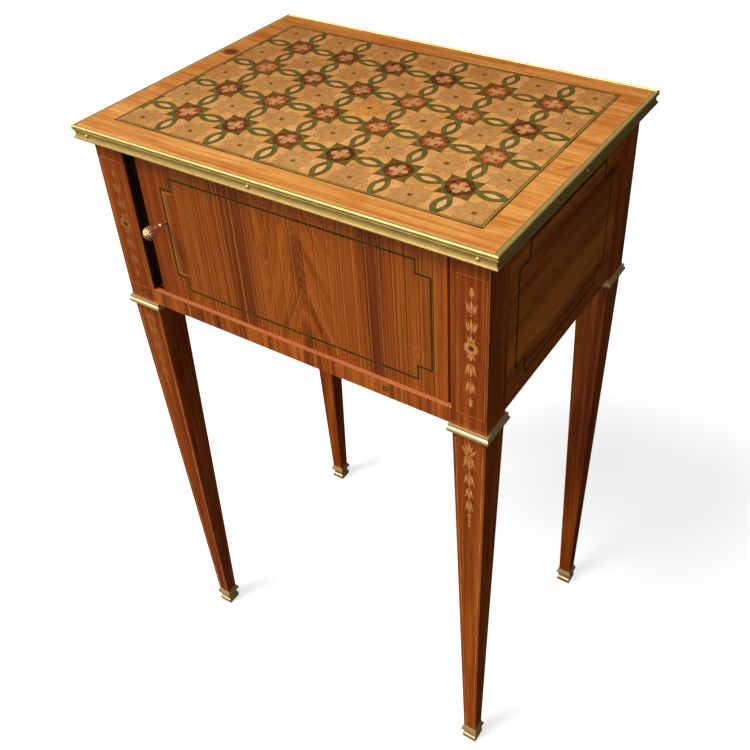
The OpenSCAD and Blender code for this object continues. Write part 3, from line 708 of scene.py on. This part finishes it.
def shutter_finish(name, place_of):
    """The veneer of the shutter. In the middle its fibres rise in nested, pointed arches, and on
    both sides they run upright in streaks. It darkens and lightens from left to right, and from
    slat to slat."""
    wood = Finish(name)
    place = place_of(wood)
    spot = wood.node("SeparateXYZ", None, {0: place})
    x, z = spot, spot.output("Z")
    drift = stretched_noise(wood, place, (26, 26, 70), 3.0, 12.0) - 0.5

    # How far below the apex of the innermost arch a fibre would start, if it rose like this one
    beside = x - flame_x + drift * 14
    arch = apex_z - z - ((beside * beside + 12) ** 0.5 - 3.5) * 3.1 + drift * 24
    in_flame = abs(x - flame_x - 2).fade(52, 34)
    straight = wood.node("CombineXYZ", None, {0: x + drift * 3, 1: z * 0.006, 2: 0.0})
    arched = wood.node("CombineXYZ", None, {0: arch * 0.32, 1: beside * 0.05, 2: 4.0})
    fibre_place = wood.node("Mix", {"data_type": "VECTOR"},
                            {0: in_flame * 0.8, 4: straight, 5: arched}, 1)
    streaks = stretched_noise(wood, fibre_place, (2.7, 2.7, 9), 3.0, 5.1)
    broad = stretched_noise(wood, fibre_place, (11, 11, 9), 2.0, 7.9)
    fibres = stretched_noise(wood, place, (0.8, 0.8, 60), 2.0, 9.0)

    base = wood.ramp((x + 180) / 360,
                     (0.04, seen(143, 63, 12)), (0.12, seen(153, 68, 13)), (0.18, seen(160, 78, 13)),
                     (0.30, seen(160, 78, 13)), (0.335, seen(126, 53, 8)), (0.40, seen(132, 55, 8)),
                     (0.435, seen(168, 84, 14)), (0.50, seen(172, 86, 14)), (0.60, seen(168, 82, 13)),
                     (0.73, seen(166, 80, 13)), (0.755, seen(111, 42, 5)), (0.79, seen(118, 46, 6)),
                     (0.81, seen(153, 72, 12)), (0.92, seen(168, 84, 15)), (0.98, seen(174, 87, 17)))
    tone = streaks * 0.65 + broad * 0.35
    colour = wood.mix(tone.fade(0.55, 0.32) * 0.5, base, seen(96, 36, 4))
    colour = wood.mix(tone.fade(0.50, 0.70) * 0.45, colour, seen(196, 116, 44))

    # The dark heart of the flame, and the dark line round its innermost arch
    near_heart = abs(x - flame_x - 1 + drift * 6) * 0.09
    above = z.fade(apex_z - 10, apex_z + 2) * z.fade(apex_z + 58, apex_z + 28)
    above = above * near_heart.fade(1.1, 0.35)
    below = z.fade(apex_z - 39, apex_z - 69) * (abs(x - flame_x - 5) * 0.09).fade(1.0, 0.2)
    colour = wood.mix((above * 0.55).math("MAXIMUM", below * 0.75), colour, seen(84, 32, 10))
    colour = wood.mix(abs(arch).fade(9.0, 2.0) * in_flame * 0.45, colour, seen(96, 38, 6))
    colour = wood.mix(abs(arch + 52).fade(8.0, 2.0) * in_flame * 0.25, colour, seen(100, 42, 8))

    # A small pale arch near the right end
    small_arch = ((x - small_arch_x) ** 2 + ((z - small_arch_z) * 0.6) ** 2) ** 0.5
    rings = (small_arch * 1.5).math("SINE").fade(0.0, 0.9) * small_arch.fade(9, 6)
    rings = rings * z.fade(small_arch_z - 10, small_arch_z - 2)
    colour = wood.mix(rings * 0.4, colour, seen(190, 112, 56))

    # Fine streaks, pores, the tone of each slat and the edge of each that catches the light
    colour = wood.mix((fibres - 0.5).fade(0.0, 0.25) * 0.22, colour, seen(90, 36, 6))
    thin = stretched_noise(wood, fibre_place, (1.3, 1.3, 5), 2.0, 3.3)
    colour = wood.mix(thin.fade(0.52, 0.66) * 0.42, colour, seen(92, 36, 5))
    colour = wood.mix(thin.fade(0.46, 0.34) * 0.34, colour, seen(194, 116, 42))
    pores = stretched_noise(wood, place, (0.5, 0.5, 9), 0.0, 7.7).fade(0.60, 0.72)
    colour = wood.mix(pores * 0.22, colour, seen(50, 22, 8))
    slats_along = (x - stile_right) / slat_pitch
    slat = wood.node("CombineXYZ", None, {0: slats_along.math("FLOOR")})
    slat_tone = wood.node("TexWhiteNoise", {"noise_dimensions": "1D"}, {"W": slat})
    colour = wood.mix(slat_tone * 0.2, colour, seen(104, 44, 6))
    past_edge = slats_along.math("FRACT") * slat_pitch
    lit_edge = abs(past_edge - 1.1).fade(0.8, 0.3) * (x - stile_right).fade(-1, 1)
    colour = wood.mix(lit_edge * 0.4, colour, seen(206, 128, 52))

    # The green line, between two lighter edges, and a golden string inside it at the left end
    from_left, from_right = x - line_left, line_right - x
    from_low, from_high = z - line_low, line_high - z
    step_x = (from_left - line_step_left).math("MINIMUM", from_right - line_step_right)
    step_z = (from_low - line_step_low).math("MINIMUM", from_high - line_step_high)
    to_line = from_left.math("MINIMUM", from_right).math("MINIMUM", from_low).math("MINIMUM", from_high)
    to_line = to_line.math("MINIMUM", step_x.math("MAXIMUM", step_z))
    worn = stretched_noise(wood, place, (20, 20, 20), 2.0, 2.0)
    colour = wood.mix(abs(to_line).fade(1.8, 1.3) * 0.5, colour, seen(136, 92, 28))
    line_colour = wood.ramp(worn, (0.4, seen(32, 34, 6)), (0.6, seen(56, 48, 10)))
    colour = wood.mix(abs(to_line).fade(line_half + 0.2, line_half - 0.2) * 0.92, colour, line_colour)
    gold_string = abs(to_line - gold_inset).fade(1.1, 0.5) * (x - line_left).fade(15, 11)
    colour = wood.mix(gold_string * 0.6, colour, seen(196, 140, 62))
    return polish(wood, colour, 0.4 + (fibres - 0.5) * 0.12, fibres * 0.5 - pores)


def unrolled(finish):
    """The place on the shutter as it lay when it was veneered, which each slat carries with it."""
    return finish.node("Attribute", {"attribute_name": "unrolled"}, None, "Vector")


slat_look = shutter_finish("shutter_veneer", unrolled)
dress(["shutter_stile"], shutter_finish("stile_veneer", table_place))

canvas = Finish("canvas")
place = unrolled(canvas)
spot = canvas.node("SeparateXYZ", None, {0: place})
threads = 6.0
weave = (spot * threads).math("SINE") * (spot.output("Z") * threads).math("SINE")
colour = canvas.ramp(weave * 0.5 + 0.5, (0.0, seen(128, 108, 78)), (1.0, seen(186, 166, 130)))
canvas_look = polish(canvas, colour, 0.9, weave, 0.1, 0.1)

front_run = turn_x + face_x - post_w
turn_len = turn_r * math.pi / 2
front_turn_y = front_line + turn_r
flat_slats = int((turn_x - stile_right) // slat_pitch)
shut_travel = frame["joints"][0]["range_m"][1] * 1000
slot_x = 176.3
blend_reach = 100.0


def on_way(distance):
    """Place and heading of the line of the slats' backs at a distance along it: straight across
    the front, and then a quarter circle to the right side."""
    turn = min(max((distance - front_run) / turn_len, 0), 1) * math.pi / 2
    x = distance - front_run + turn_x if distance < front_run else turn_x + turn_r * math.sin(turn)
    y = front_turn_y - turn_r * math.cos(turn)
    if distance > front_run + turn_len:
        y = front_turn_y + distance - front_run - turn_len
    return x, y, turn


def upright_bar(outline, low, high):
    """A bar that stands upright: its outline, given anticlockwise from above, is carried from one
    height to the other and closed at both ends. Returns its points and its faces."""
    n = len(outline)
    ring = np.array(outline, float)
    points = np.concatenate([np.column_stack([ring, np.full(n, low)]),
                             np.column_stack([ring, np.full(n, high)])])
    i = np.arange(n)
    j = (i + 1) % n
    faces = np.stack([i, j, j + n, i + n], -1).tolist()
    return points, faces + [list(range(n))[::-1], list(range(n, 2 * n))]


def shutter_strip(name, bars, distance, material, node):
    """One strip of the shutter, made of bars in its own plan, set on the way at a distance. Its
    place on the flat sheet of veneer is kept in the attribute unrolled. The share of the stile's
    travel that would bring it to the slot in the post as the shutter opens is worked out, with the
    ends of a smooth step along Y round it, but nothing ties the strip to the stile."""
    points = []
    faces = []
    for bar_points, bar_faces in bars:
        faces += [[k + sum(map(len, points)) for k in face] for face in bar_faces]
        points.append(bar_points)
    flat = np.concatenate(points)
    x, y, turn = on_way(distance)
    placed = np.column_stack([x + flat[:, 0] * math.cos(turn) - flat[:, 1] * math.sin(turn),
                              y + flat[:, 0] * math.sin(turn) + flat[:, 1] * math.cos(turn) + case_y,
                              flat[:, 2]]) / 1000
    mesh = bpy.data.meshes.new(name)
    mesh.from_pydata(placed.tolist(), [], faces)
    unrolled_x = flat[:, 0] + distance - front_run + turn_x
    sheet = np.column_stack([unrolled_x, flat[:, 1] + front_line, flat[:, 2]])
    carried = mesh.attributes.new("unrolled", "FLOAT_VECTOR", "POINT")
    carried.data.foreach_set("vector", sheet.astype(np.float32).reshape(-1))
    mesh.materials.append(material)
    piece = bpy.data.objects.new(name, mesh)
    bpy.context.scene.collection.objects.link(piece)
    share = min(max((slot_x - x) / shut_travel, 0), 1)
    step = 0.5 - math.sin(math.asin(1 - 2 * share) / 3)
    y / 1000 - step * blend_reach
    y / 1000 + (1 - step) * blend_reach
    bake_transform(piece)
    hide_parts(node)


def oblong(half, near, far):
    """An oblong in a slat's plan, from one distance behind the line of the backs to another."""
    return [(-half, near), (half, near), (half, far), (-half, far)]


tongue_back = -(slat_t - tongue_t) / 2
tongue = oblong(tongue_w / 2, tongue_back - tongue_t, tongue_back)
low_tongue = upright_bar(tongue, sill - tongue_len, sill + end_clear)
high_tongue = upright_bar(tongue, head - end_clear, head + tongue_len)
for i in range(flat_slats + turned_slats):
    if i < flat_slats:
        start = stile_right - turn_x + front_run + i * slat_pitch
        width = front_run - start if i == flat_slats - 1 else slat_pitch
    else:
        start = front_run + (i - flat_slats) * slat_pitch
        width = slat_pitch
    middle = start + width / 2
    half = width / 2 - slat_gap / 2
    b = slat_bevel
    arris = [(half - b + b * math.sin(a), b - b * math.cos(a) - slat_t)
             for a in np.linspace(0, math.pi / 2, 5)]
    outline = [(-px, py) for px, py in arris[::-1]] + arris + [(half, 0), (-half, 0)]
    body = upright_bar(outline, sill + end_clear, head - end_clear)
    shutter_strip(f"slat_{i + 1:02d}", [body, low_tongue, high_tongue], middle, slat_look,
                  "shutter_slats")
    layer = canvas_step * (i % 2)
    cloth = oblong(width / 2 + canvas_lap, layer, canvas_t + layer)
    shutter_strip(f"canvas_{i + 1:02d}", [upright_bar(cloth, sill + canvas_hem, head - canvas_hem)],
                  middle, canvas_look, "shutter_canvas")

# Knob
# A small cast and turned knob of pale gilt brass, screwed to the stile: a foot, a thin shank with
# a bulb, a neck that widens, and a bun whose lobes run from the neck to a button at the tip.
knob_low, knob_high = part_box("shutter_knob")
knob_x = (knob_low.x + knob_high.x) * 500
knob_z = (knob_low.z + knob_high.z) * 500
knob_len = (knob_high.y - knob_low.y) * 1000
knob_r = (knob_high.x - knob_low.x) * 500
lobes = 14
gilt = Finish("gilt_brass")
place = table_place(gilt)
tarnish = stretched_noise(gilt, place, (3, 3, 3), 3.0).fade(0.4, 0.75)
grooves = gilt.node("Attribute", {"attribute_name": "groove"}, None, "Fac")
colour = gilt.mix(tarnish * 0.4, seen(226, 184, 138), seen(180, 126, 82))
# Darker in the grooves between the lobes: painted shade.
colour = gilt.mix(grooves, colour, seen(84, 46, 20))
y = gilt.node("SeparateXYZ", None, {0: place}).output("Y")
# Darker towards the stile, on the foot under the bun: painted shade.
near_stile = (y - slat_face_y).fade(-7, -3)
colour = gilt.mix(near_stile * 0.75, colour, seen(104, 66, 30))
gilt_look = polish(gilt, colour, 0.3 + tarnish * 0.14, tarnish, 0.02, metal=0.8)

# Outline of the knob: distance from the stile and radius. It is smoothed, and on the bun the
# radius shrinks towards the valleys between the lobes.
knob_points = np.array([
    (0.0, 1.9), (0.8, 1.9), (1.3, 1.4), (4.0, 1.3), (5.6, 1.6), (6.8, 2.4), (7.8, 3.0), (8.8, 2.9),
    (9.6, 2.2), (10.8, 2.2), (12.4, 2.7), (14.2, 3.3), (15.4, 3.5), (16.0, 3.2), (16.6, 4.4),
    (17.8, 5.9), (19.4, 6.7), (21.6, 6.8), (23.8, 6.7), (25.8, 5.9), (27.3, 4.5), (28.2, 3.0),
    (28.8, 2.4), (29.3, 1.6), (29.4, 0.02)])
bun_start, bun_end = 16.6, 28.2
lobe_sides = 14
lobe_depth = 0.15
station = np.linspace(0, len(knob_points) - 1, 150)
order = np.arange(len(knob_points))
axis_at = np.interp(station, order, knob_points[:, 0])
radius = np.interp(station, order, knob_points[:, 1])
for _ in range(3):
    radius[1:-1] = (radius[:-2] + 2 * radius[1:-1] + radius[2:]) / 4
    axis_at[1:-1] = (axis_at[:-2] + 2 * axis_at[1:-1] + axis_at[2:]) / 4
angle = np.arange(lobes * lobe_sides) * 2 * math.pi / (lobes * lobe_sides)
on_bun = np.clip((axis_at - bun_start) / 2.4, 0, 1) * np.clip((bun_end - axis_at) / 1.2, 0, 1)
valley = (1 - np.abs(np.cos(angle * lobes / 2))) ** 1.4
spread = radius[:, None] * (1 - lobe_depth * on_bun[:, None] * valley[None, :])
spread *= knob_r / spread.max()
knob_y = case_y + slat_face_y - axis_at[:, None] * knob_len / knob_points[-1, 0]
knob_grid = np.stack([knob_x + spread * np.cos(angle), np.broadcast_to(knob_y, spread.shape),
                      knob_z + spread * np.sin(angle)], -1) / 1000
rows, columns = spread.shape
index = np.arange(rows * columns).reshape(rows, columns)
after = np.roll(index, -1, 1)
quads = np.stack([index[:-1], after[:-1], after[1:], index[1:]], -1).reshape(-1, 4)
knob_mesh = bpy.data.meshes.new("knob")
knob_mesh.from_pydata(knob_grid.reshape(-1, 3).tolist(), [],
                      quads.tolist() + [index[0, ::-1].tolist(), index[-1].tolist()])
groove = knob_mesh.attributes.new("groove", "FLOAT", "POINT")
groove_depth = on_bun[:, None] * valley[None, :] ** 1.5 * 0.8
groove.data.foreach_set("value", groove_depth.astype(np.float32).reshape(-1))
knob_mesh.polygons.foreach_set("use_smooth", np.ones(len(knob_mesh.polygons), bool))
knob_mesh.materials.append(gilt_look)
knob = bpy.data.objects.new("turned_knob", knob_mesh)
bpy.context.scene.collection.objects.link(knob)
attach(knob, "shutter")
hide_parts("shutter_knob")

# Border of the top
# A broad veneer of bright orange-brown wood round the marquetry, its grain running from left to
# right. A knot darkens it on the left and a streak on the right, and a dark line closes it against
# the field.
panel_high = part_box("top_marquetry_panel")[1]
field_x = panel_high.x * 1000
field_y = panel_high.y * 1000 - case_y
edge_x = core_high.x * 1000
edge_y = core_high.y * 1000 - case_y
border = Finish("border_veneer")
place = table_place(border)
spot = border.node("SeparateXYZ", None, {0: place})
x, y = spot, spot.output("Y")
colour, height = veneer(border, place, 0, (
    (0.0, seen(190, 112, 44)), (0.4, seen(214, 140, 62)), (0.75, seen(230, 160, 80)),
    (1.0, seen(244, 182, 106))), width=4.0, seed=3.0, wander=5.0)
broad = stretched_noise(border, place, (60, 34, 60), 2.0, 2.0)
colour = border.mix(broad.fade(0.50, 0.68) * 0.5, colour, seen(196, 104, 36))
warp = stretched_noise(border, place, (5, 5, 5), 2.0, 8.0) - 0.5
knot_x, knot_y = -205.6, 43.2
streak_x, streak_y = 210.8, -17
knot = (((x - knot_x) / 10) ** 2 + ((y - knot_y) / 9) ** 2) ** 0.5 + warp * 0.7
colour = border.mix(knot.fade(1.15, 0.55) * 0.85, colour, seen(98, 42, 26))
streak = abs(x - streak_x - (y - streak_y) * 0.55 + warp * 3).fade(2.6, 0.6)
streak = streak * abs(y - streak_y).fade(9, 4)
colour = border.mix(streak * 0.6, colour, seen(150, 66, 22))


def painted_falloff(finish, colour, x, y):
    """Darkens a colour towards the back and the left of the top: painted shade, where the lamp's light
    falls off.
    """
    away = (y * 0.9 - x * 0.28).fade(-165, 160)
    return finish.mix(away * 0.62, colour, finish.mix(1.0, colour, seen(184, 156, 118), "MULTIPLY"))


# Painted shade towards the back and the left of the top.
colour = painted_falloff(border, colour, x, y)
out_of_field = (abs(x) - field_x).math("MAXIMUM", abs(y) - field_y)
dark_line = out_of_field.fade(1.25, 0.8)
colour = border.mix(dark_line * 0.95, colour, seen(60, 38, 8))
to_edge = (edge_x - abs(x)).math("MINIMUM", edge_y - abs(y))
colour = border.mix(to_edge.fade(0.9, 0.2) * 0.45, colour, seen(240, 170, 120))
dress(["top_border_veneer"], polish(border, colour, 0.38, height, 0.015))

# Marquetry field
# A repeat of rosettes tied by interlaced green bands, with an engraved flower in each space. The
# bands run round each rosette and cross between them, so that every pair encloses a pale lens.
pitch = 58.5
half_pitch = pitch / 2
cross_at = 12.9
band_swing = 5.5
band_half = 2.45
frame_half = 15.5
frame_waist = 14.6
strap_at = 16.5
disc_r = 12.2
petal_reach = 9.2
petal_gap = 12.6
field = Finish("marquetry")
place = table_place(field)
hand = stretched_noise(field, place, (22, 22, 22), 3.0, 5.0)
shake = field.node("VectorMath", {"operation": "MULTIPLY_ADD"}, {
    0: hand.output("Color"), 1: (3.0, 3.0, 0), 2: (-1.5, -1.5, 0)})
spot = field.node("SeparateXYZ", None, {
    0: field.node("VectorMath", {"operation": "ADD"}, {0: place, 1: shake})})
x = spot + spot.output("Y") * 0.0067 - 1.13
y = spot.output("Y") * 0.997 + 0.95
fibres = stretched_noise(field, place, (1.3, 60, 1), 3.0, 1.0)
clouds = stretched_noise(field, place, (34, 26, 1), 2.0, 3.0)
blotch = stretched_noise(field, place, (4.5, 6.0, 1), 3.0, 6.0)
crumbs = stretched_noise(field, place, (1.4, 2.0, 1), 2.0, 4.0)

# The ground: golden strips between the rosettes, with pinker ones beside the upright lenses. The
# grain runs from front to back, and a seam shows where two strips meet.
fu = x.math("WRAP", half_pitch, -half_pitch)
fv = y.math("WRAP", half_pitch, -half_pitch)
ground_tone = (fibres * 0.35 + clouds * 0.4 + blotch * 0.25).fade(0.33, 0.67)
golden = field.ramp(ground_tone, (0.0, seen(186, 124, 56)), (0.5, seen(216, 154, 79)),
                    (1.0, seen(236, 184, 106)))
pinkish = field.ramp(ground_tone, (0.0, seen(196, 130, 64)), (0.5, seen(220, 156, 88)),
                     (1.0, seen(236, 180, 112)))
past_seam = abs(fu) - half_pitch + frame_half
colour = field.mix(past_seam.fade(-0.3, 0.3), golden, pinkish)
seam_line = abs(past_seam).fade(0.7, 0.1) * crumbs.fade(0.4, 0.6)
colour = field.mix(seam_line * 0.55, colour, seen(132, 84, 36))
# A brighter golden patch in the middle of the top, in which the fibres show darker and the flowers
# fainter: partly the wood's own tone and partly a painted sheen.
tone_and_sheen_at = ((x / 13) ** 2 + ((y + 5) / 19) ** 2) ** 0.5 + (blotch - 0.5) * 0.8
tone_and_sheen = tone_and_sheen_at.fade(1.2, 0.6)
colour = field.mix(tone_and_sheen * 0.7, colour, seen(238, 158, 62))
colour = field.mix(tone_and_sheen * fibres.fade(0.5, 0.68) * 0.6, colour, seen(150, 78, 22))

# Flower: eight petals with engraved edges and veins round a dark seed
reach = (fu * fu + fv * fv) ** 0.5
turn = fv.math("ARCTAN2", fu)
lobe = abs((turn * 4).math("COSINE"))
edge = reach - petal_gap - 4.8 * lobe ** 0.75
cell = field.node("CombineXYZ", None, {0: ((x + half_pitch) / pitch).math("FLOOR"),
                                       1: ((y + half_pitch) / pitch).math("FLOOR")})
chance = field.node("TexWhiteNoise", {"noise_dimensions": "2D"}, {"Vector": cell})
petals = field.mix(chance, seen(192, 138, 78), seen(204, 144, 82))
petals = field.mix(blotch.fade(0.40, 0.62) * 0.65, petals, seen(164, 106, 52))
petals = field.mix(crumbs.fade(0.52, 0.66) * 0.45, petals, seen(190, 158, 104))
colour = field.mix(edge.fade(0.5, -0.5) * (0.6 - tone_and_sheen * 0.5), colour, petals)
broken = crumbs.fade(0.42, 0.56)
rim = abs(edge).fade(0.8, 0.25)
between = (reach * lobe).fade(2.0, 0.9) * reach.fade(4.5, 6.5) * reach.fade(14.5, 12.5)
vein = (reach * abs((turn * 12).math("SINE"))).fade(4.0, 2.0)
vein = vein * reach.fade(8.5, 10.5) * edge.fade(-0.8, -1.8)
strokes = (rim * 0.6).math("MAXIMUM", between * 0.7).math("MAXIMUM", vein * 0.6) * broken
colour = field.mix(strokes, colour, seen(104, 62, 22))
flecks = stretched_noise(field, place, (1.1, 1.1, 1), 1.0, 11.0)
colour = field.mix(flecks.fade(0.56, 0.68) * edge.fade(3, -2) * 0.42, colour, seen(122, 74, 34))
colour = field.mix(flecks.fade(0.42, 0.32) * edge.fade(3, -2) * 0.3, colour, seen(238, 186, 128))
seed_r = 1.7 + chance * 0.9
seed_share = (reach - seed_r).fade(0.5, -0.3) * (0.45 + chance.output("Color") * 0.55)
colour = field.mix(seed_share, colour, seen(78, 58, 16))

# Lens between two rosettes, and the two bands that cross at its ends. Each band is green where it
# passes over the other, and turns brown towards its other end, where it passes under.
u = (x - half_pitch).math("WRAP", half_pitch, -half_pitch)
v = (y - half_pitch).math("WRAP", half_pitch, -half_pitch)
far = abs(u).math("MAXIMUM", abs(v))
near = abs(u).math("MINIMUM", abs(v))
level_lens = abs(u).math("GREATER_THAN", abs(v))
across = level_lens * v * u.math("SIGN") + (1 - level_lens) * u * v.math("SIGN")
past_lens = half_pitch - far
phase = past_lens * (math.pi / 2 / cross_at)
past_crossing = (past_lens - cross_at).math("MAXIMUM", 0)
swing = phase.math("COSINE") * (past_crossing * 0.2 + 1) * band_swing
slant = (phase.math("SINE") ** 2 * 0.5 + 1) ** 0.5
hole = ((swing - near) / slant - band_half).fade(-0.1, 0.3)
pale = field.mix(chance, seen(224, 186, 118), seen(220, 162, 108))
colour = field.mix(hole, colour, pale)
near_band = (near - abs(swing)) / slant - band_half
halo = near_band.math("MINIMUM", (far - 14.8)).fade(1.3, 0.3)
colour = field.mix(halo * (1 - hole) * 0.35, colour, seen(224, 178, 112))
patchy = stretched_noise(field, place, (11, 11, 1), 2.0, 7.0)
greens = field.ramp(patchy.fade(0.3, 0.7), (0.0, seen(78, 92, 38)), (0.45, seen(102, 100, 44)),
                    (1.0, seen(124, 102, 44)))
browns = field.mix(patchy.fade(0.35, 0.65), seen(112, 78, 18), seen(134, 96, 30))
band_grain = stretched_noise(field, place, (1.0, 7, 1), 2.0, 2.0).fade(0.55, 0.75)
dark_edge = seen(58, 50, 12)

# Frame round each rosette: a square with drawn-out corners. Two of its straps carry on as the
# bands, in green, and the other two are brown, with darker spikes in all four corners.
outline = frame_waist + 1.4 * (near / frame_half) ** 4
in_frame = (far - outline).fade(0.25, -0.2)
same_way = (u * v).math("SIGN") * 0.5 + 0.5
diagonal = (far + near) * 0.7071
past_strap = diagonal - strap_at
straps = field.mix(same_way * 0.6 + 0.2, browns, greens)
spikes = field.mix(blotch.fade(0.4, 0.6), seen(122, 88, 26), seen(100, 76, 20))
frame_colour = field.mix(past_strap.fade(-0.2, 0.3), straps, spikes)
frame_colour = field.mix(abs(past_strap).fade(0.7, 0.2) * 0.5, frame_colour, dark_edge)
frame_colour = field.mix((outline - far).fade(0.9, 0.2) * 0.35, frame_colour, dark_edge)
colour = field.mix(in_frame, colour, frame_colour)
over_share = (past_lens / cross_at).math("MINIMUM", 1) * 0.5
within = past_lens.fade(16.4, 15.6)
for sign in (-1, 1):
    off = abs(across + swing * sign) / slant - band_half
    band = field.mix(over_share * sign + 0.5 - in_frame * 0.25, browns, greens)
    shade = past_lens.fade(7, 11) * (0.35 if sign < 0 else 0.0) + off.fade(-1.0, -0.2) * 0.5
    band = field.mix(shade, band, dark_edge)
    colour = field.mix(off.fade(0.25, -0.2) * within, colour, band)
colour = field.mix(band_grain * in_frame.math("MAXIMUM", near_band.fade(0.2, -0.2)) * 0.25, colour,
                   dark_edge)

# Rosette: a red disc shaded with hot sand, under a pale cross of four leafy petals
rosette = field.node("CombineXYZ", None, {0: (x / pitch).math("FLOOR"), 1: (y / pitch).math("FLOOR")})
luck = field.node("TexWhiteNoise", {"noise_dimensions": "2D"}, {"Vector": rosette})
eight = (far - 0.2).math("MAXIMUM", diagonal)
disc = (eight - disc_r).fade(0.25, -0.25)
red_tone = luck * 0.35 + stretched_noise(field, place, (3.6, 4.5, 1), 2.0, 9.0) * 0.8
reds = field.ramp(red_tone.fade(0.36, 0.76), (0.0, seen(84, 34, 8)), (0.35, seen(132, 62, 16)),
                  (0.7, seen(176, 82, 24)), (1.0, seen(196, 104, 44)))
burnt = eight.fade(8.5, 11.6) * blotch.fade(0.35, 0.6) * 0.75
reds = field.mix(burnt, reds, seen(66, 34, 8))
colour = field.mix(disc, colour, reds)
colour = field.mix(abs(eight - disc_r - 0.1).fade(0.7, 0.2) * 0.55, colour, seen(62, 44, 12))
petal_edge = (far ** 1.2 + near ** 1.2) ** 0.833 - petal_reach - (near * 2.6).math("COSINE") * 0.5
apart = (far - near).fade(2.2, 0.8) * far.fade(3.6, 4.8) * 0.85
cross = petal_edge.fade(0.3, -0.25)
tan = field.mix(blotch.fade(0.35, 0.65), seen(222, 162, 100), seen(186, 128, 76))
colour = field.mix(cross * (1 - apart) * (0.95 - crumbs.fade(0.6, 0.75) * 0.35), colour, tan)
dots = (((far - 4.2) ** 2 + (near - 3.9) ** 2) ** 0.5).fade(1.6, 0.9)
colour = field.mix(dots * 0.9, colour, seen(96, 46, 10))

# Lines that close the field: thin and green, then pale stringing, and a dark edge
in_field = (field_x - abs(spot)).math("MINIMUM", field_y - abs(spot.output("Y")))
colour = field.mix(abs(in_field - 2.2).fade(0.8, 0.4) * 0.85, colour, seen(84, 74, 20))
colour = field.mix(abs(in_field - 1.05).fade(0.65, 0.4), colour, seen(176, 132, 58))
colour = field.mix(in_field.fade(0.6, 0.3) * 0.95, colour, seen(60, 40, 8))

# Painted shade: darker towards the back and the left, where the lamp's light falls off, and darker
# pores everywhere
colour = painted_falloff(field, colour, x, y)
pores = stretched_noise(field, place, (0.6, 5, 1), 1.0, 8.0).fade(0.6, 0.75)
colour = field.mix(pores * 0.28, colour, seen(110, 66, 28))
roughness = 0.42 + (blotch - 0.5) * 0.15
dress(["top_marquetry_panel"], polish(field, colour, roughness, fibres * 0.5 - strokes * 0.4, 0.015))

# Brass band
# Four lengths of drawn brass moulding, mitred at the corners and pinned to the edge of the top.
# Rubbing keeps the beads bright, while the hollow is painted duller, as patina and painted
# shade, and dark lines of painted shade are painted into the grooves.
def brass(name, bright, dull, shade_levels, hollow=None):
    """Old brass: brightness in patches, fine scratches, dark lines of painted shade at given
    heights, and a hollow between two heights painted duller, as patina and painted shade."""
    metal = Finish(name)
    place = table_place(metal)
    z = metal.node("SeparateXYZ", None, {0: place}).output("Z")
    patches = stretched_noise(metal, place, (14, 14, 5), 3.0, 1.0).fade(0.35, 0.7)
    fine = stretched_noise(metal, place, (1.2, 1.2, 1.2), 3.0, 2.0)
    colour = metal.mix(patches * 0.4, bright, dull)
    painted_shade = 0.0
    for level_z, reach_z in shade_levels:
        painted_shade = abs(z - level_z).fade(reach_z * 1.3, 0.0) + painted_shade
    if hollow:
        # The hollow: patina and painted shade.
        in_hollow = (z - hollow[0]).fade(-0.4, 0.8) * (z - hollow[1]).fade(1.0, -1.0)
        colour = metal.mix(in_hollow * 0.6, colour, seen(132, 98, 38))
    # Dark lines at the given heights: painted shade.
    if shade_levels:
        painted_shade = painted_shade.math("MINIMUM", 1.0)
        colour = metal.mix(painted_shade * 0.7, colour, seen(60, 48, 16))
    colour = metal.mix(fine.fade(0.64, 0.76) * 0.2, colour, seen(120, 90, 38))
    rough = 0.4 + patches * 0.1 + (painted_shade * 0.3 if shade_levels else 0.0)
    return polish(metal, colour, rough, fine * 0.6 + patches * 0.4, 0.008, metal=0.72, shine=0.5)


band_look = brass("band_brass", seen(230, 200, 122), seen(174, 136, 58), (
    (table_h - 3.15, 0.4), (table_h - 4.6, 0.5), (table_h - 13.05, 0.3)),
    (table_h - 12.6, table_h - 9.5))
dress(["brass_band_front", "brass_band_back", "brass_band_left", "brass_band_right"], band_look)
dress(["band_pins"], brass("pin_brass", seen(232, 196, 120), seen(190, 150, 78), ()))

# Collars and sabots
# Cast brass, filed to shape: a square collar round the top of each leg, and a hollow sabot that
# takes its end.
collar_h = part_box("collar_front_right")[1].z * 1000 - collar_low
sabot_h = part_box("sabot_front_right")[1].z * 1000
# The dark lines at the given heights on the collars and sabots are painted shade.
collar_look = brass("collar_brass", seen(232, 204, 146), seen(206, 168, 102), (
    (collar_low + collar_h * 0.80, 0.4), (collar_low, 0.5)))
sabot_look = brass("sabot_brass", seen(232, 202, 142), seen(204, 164, 96), (
    (sabot_h * 0.44, 1.6), (sabot_h * 0.62, 0.5)))
dress([f"collar_{corner}" for corner in corners], collar_look)
dress([f"sabot_{corner}" for corner in corners], sabot_look)
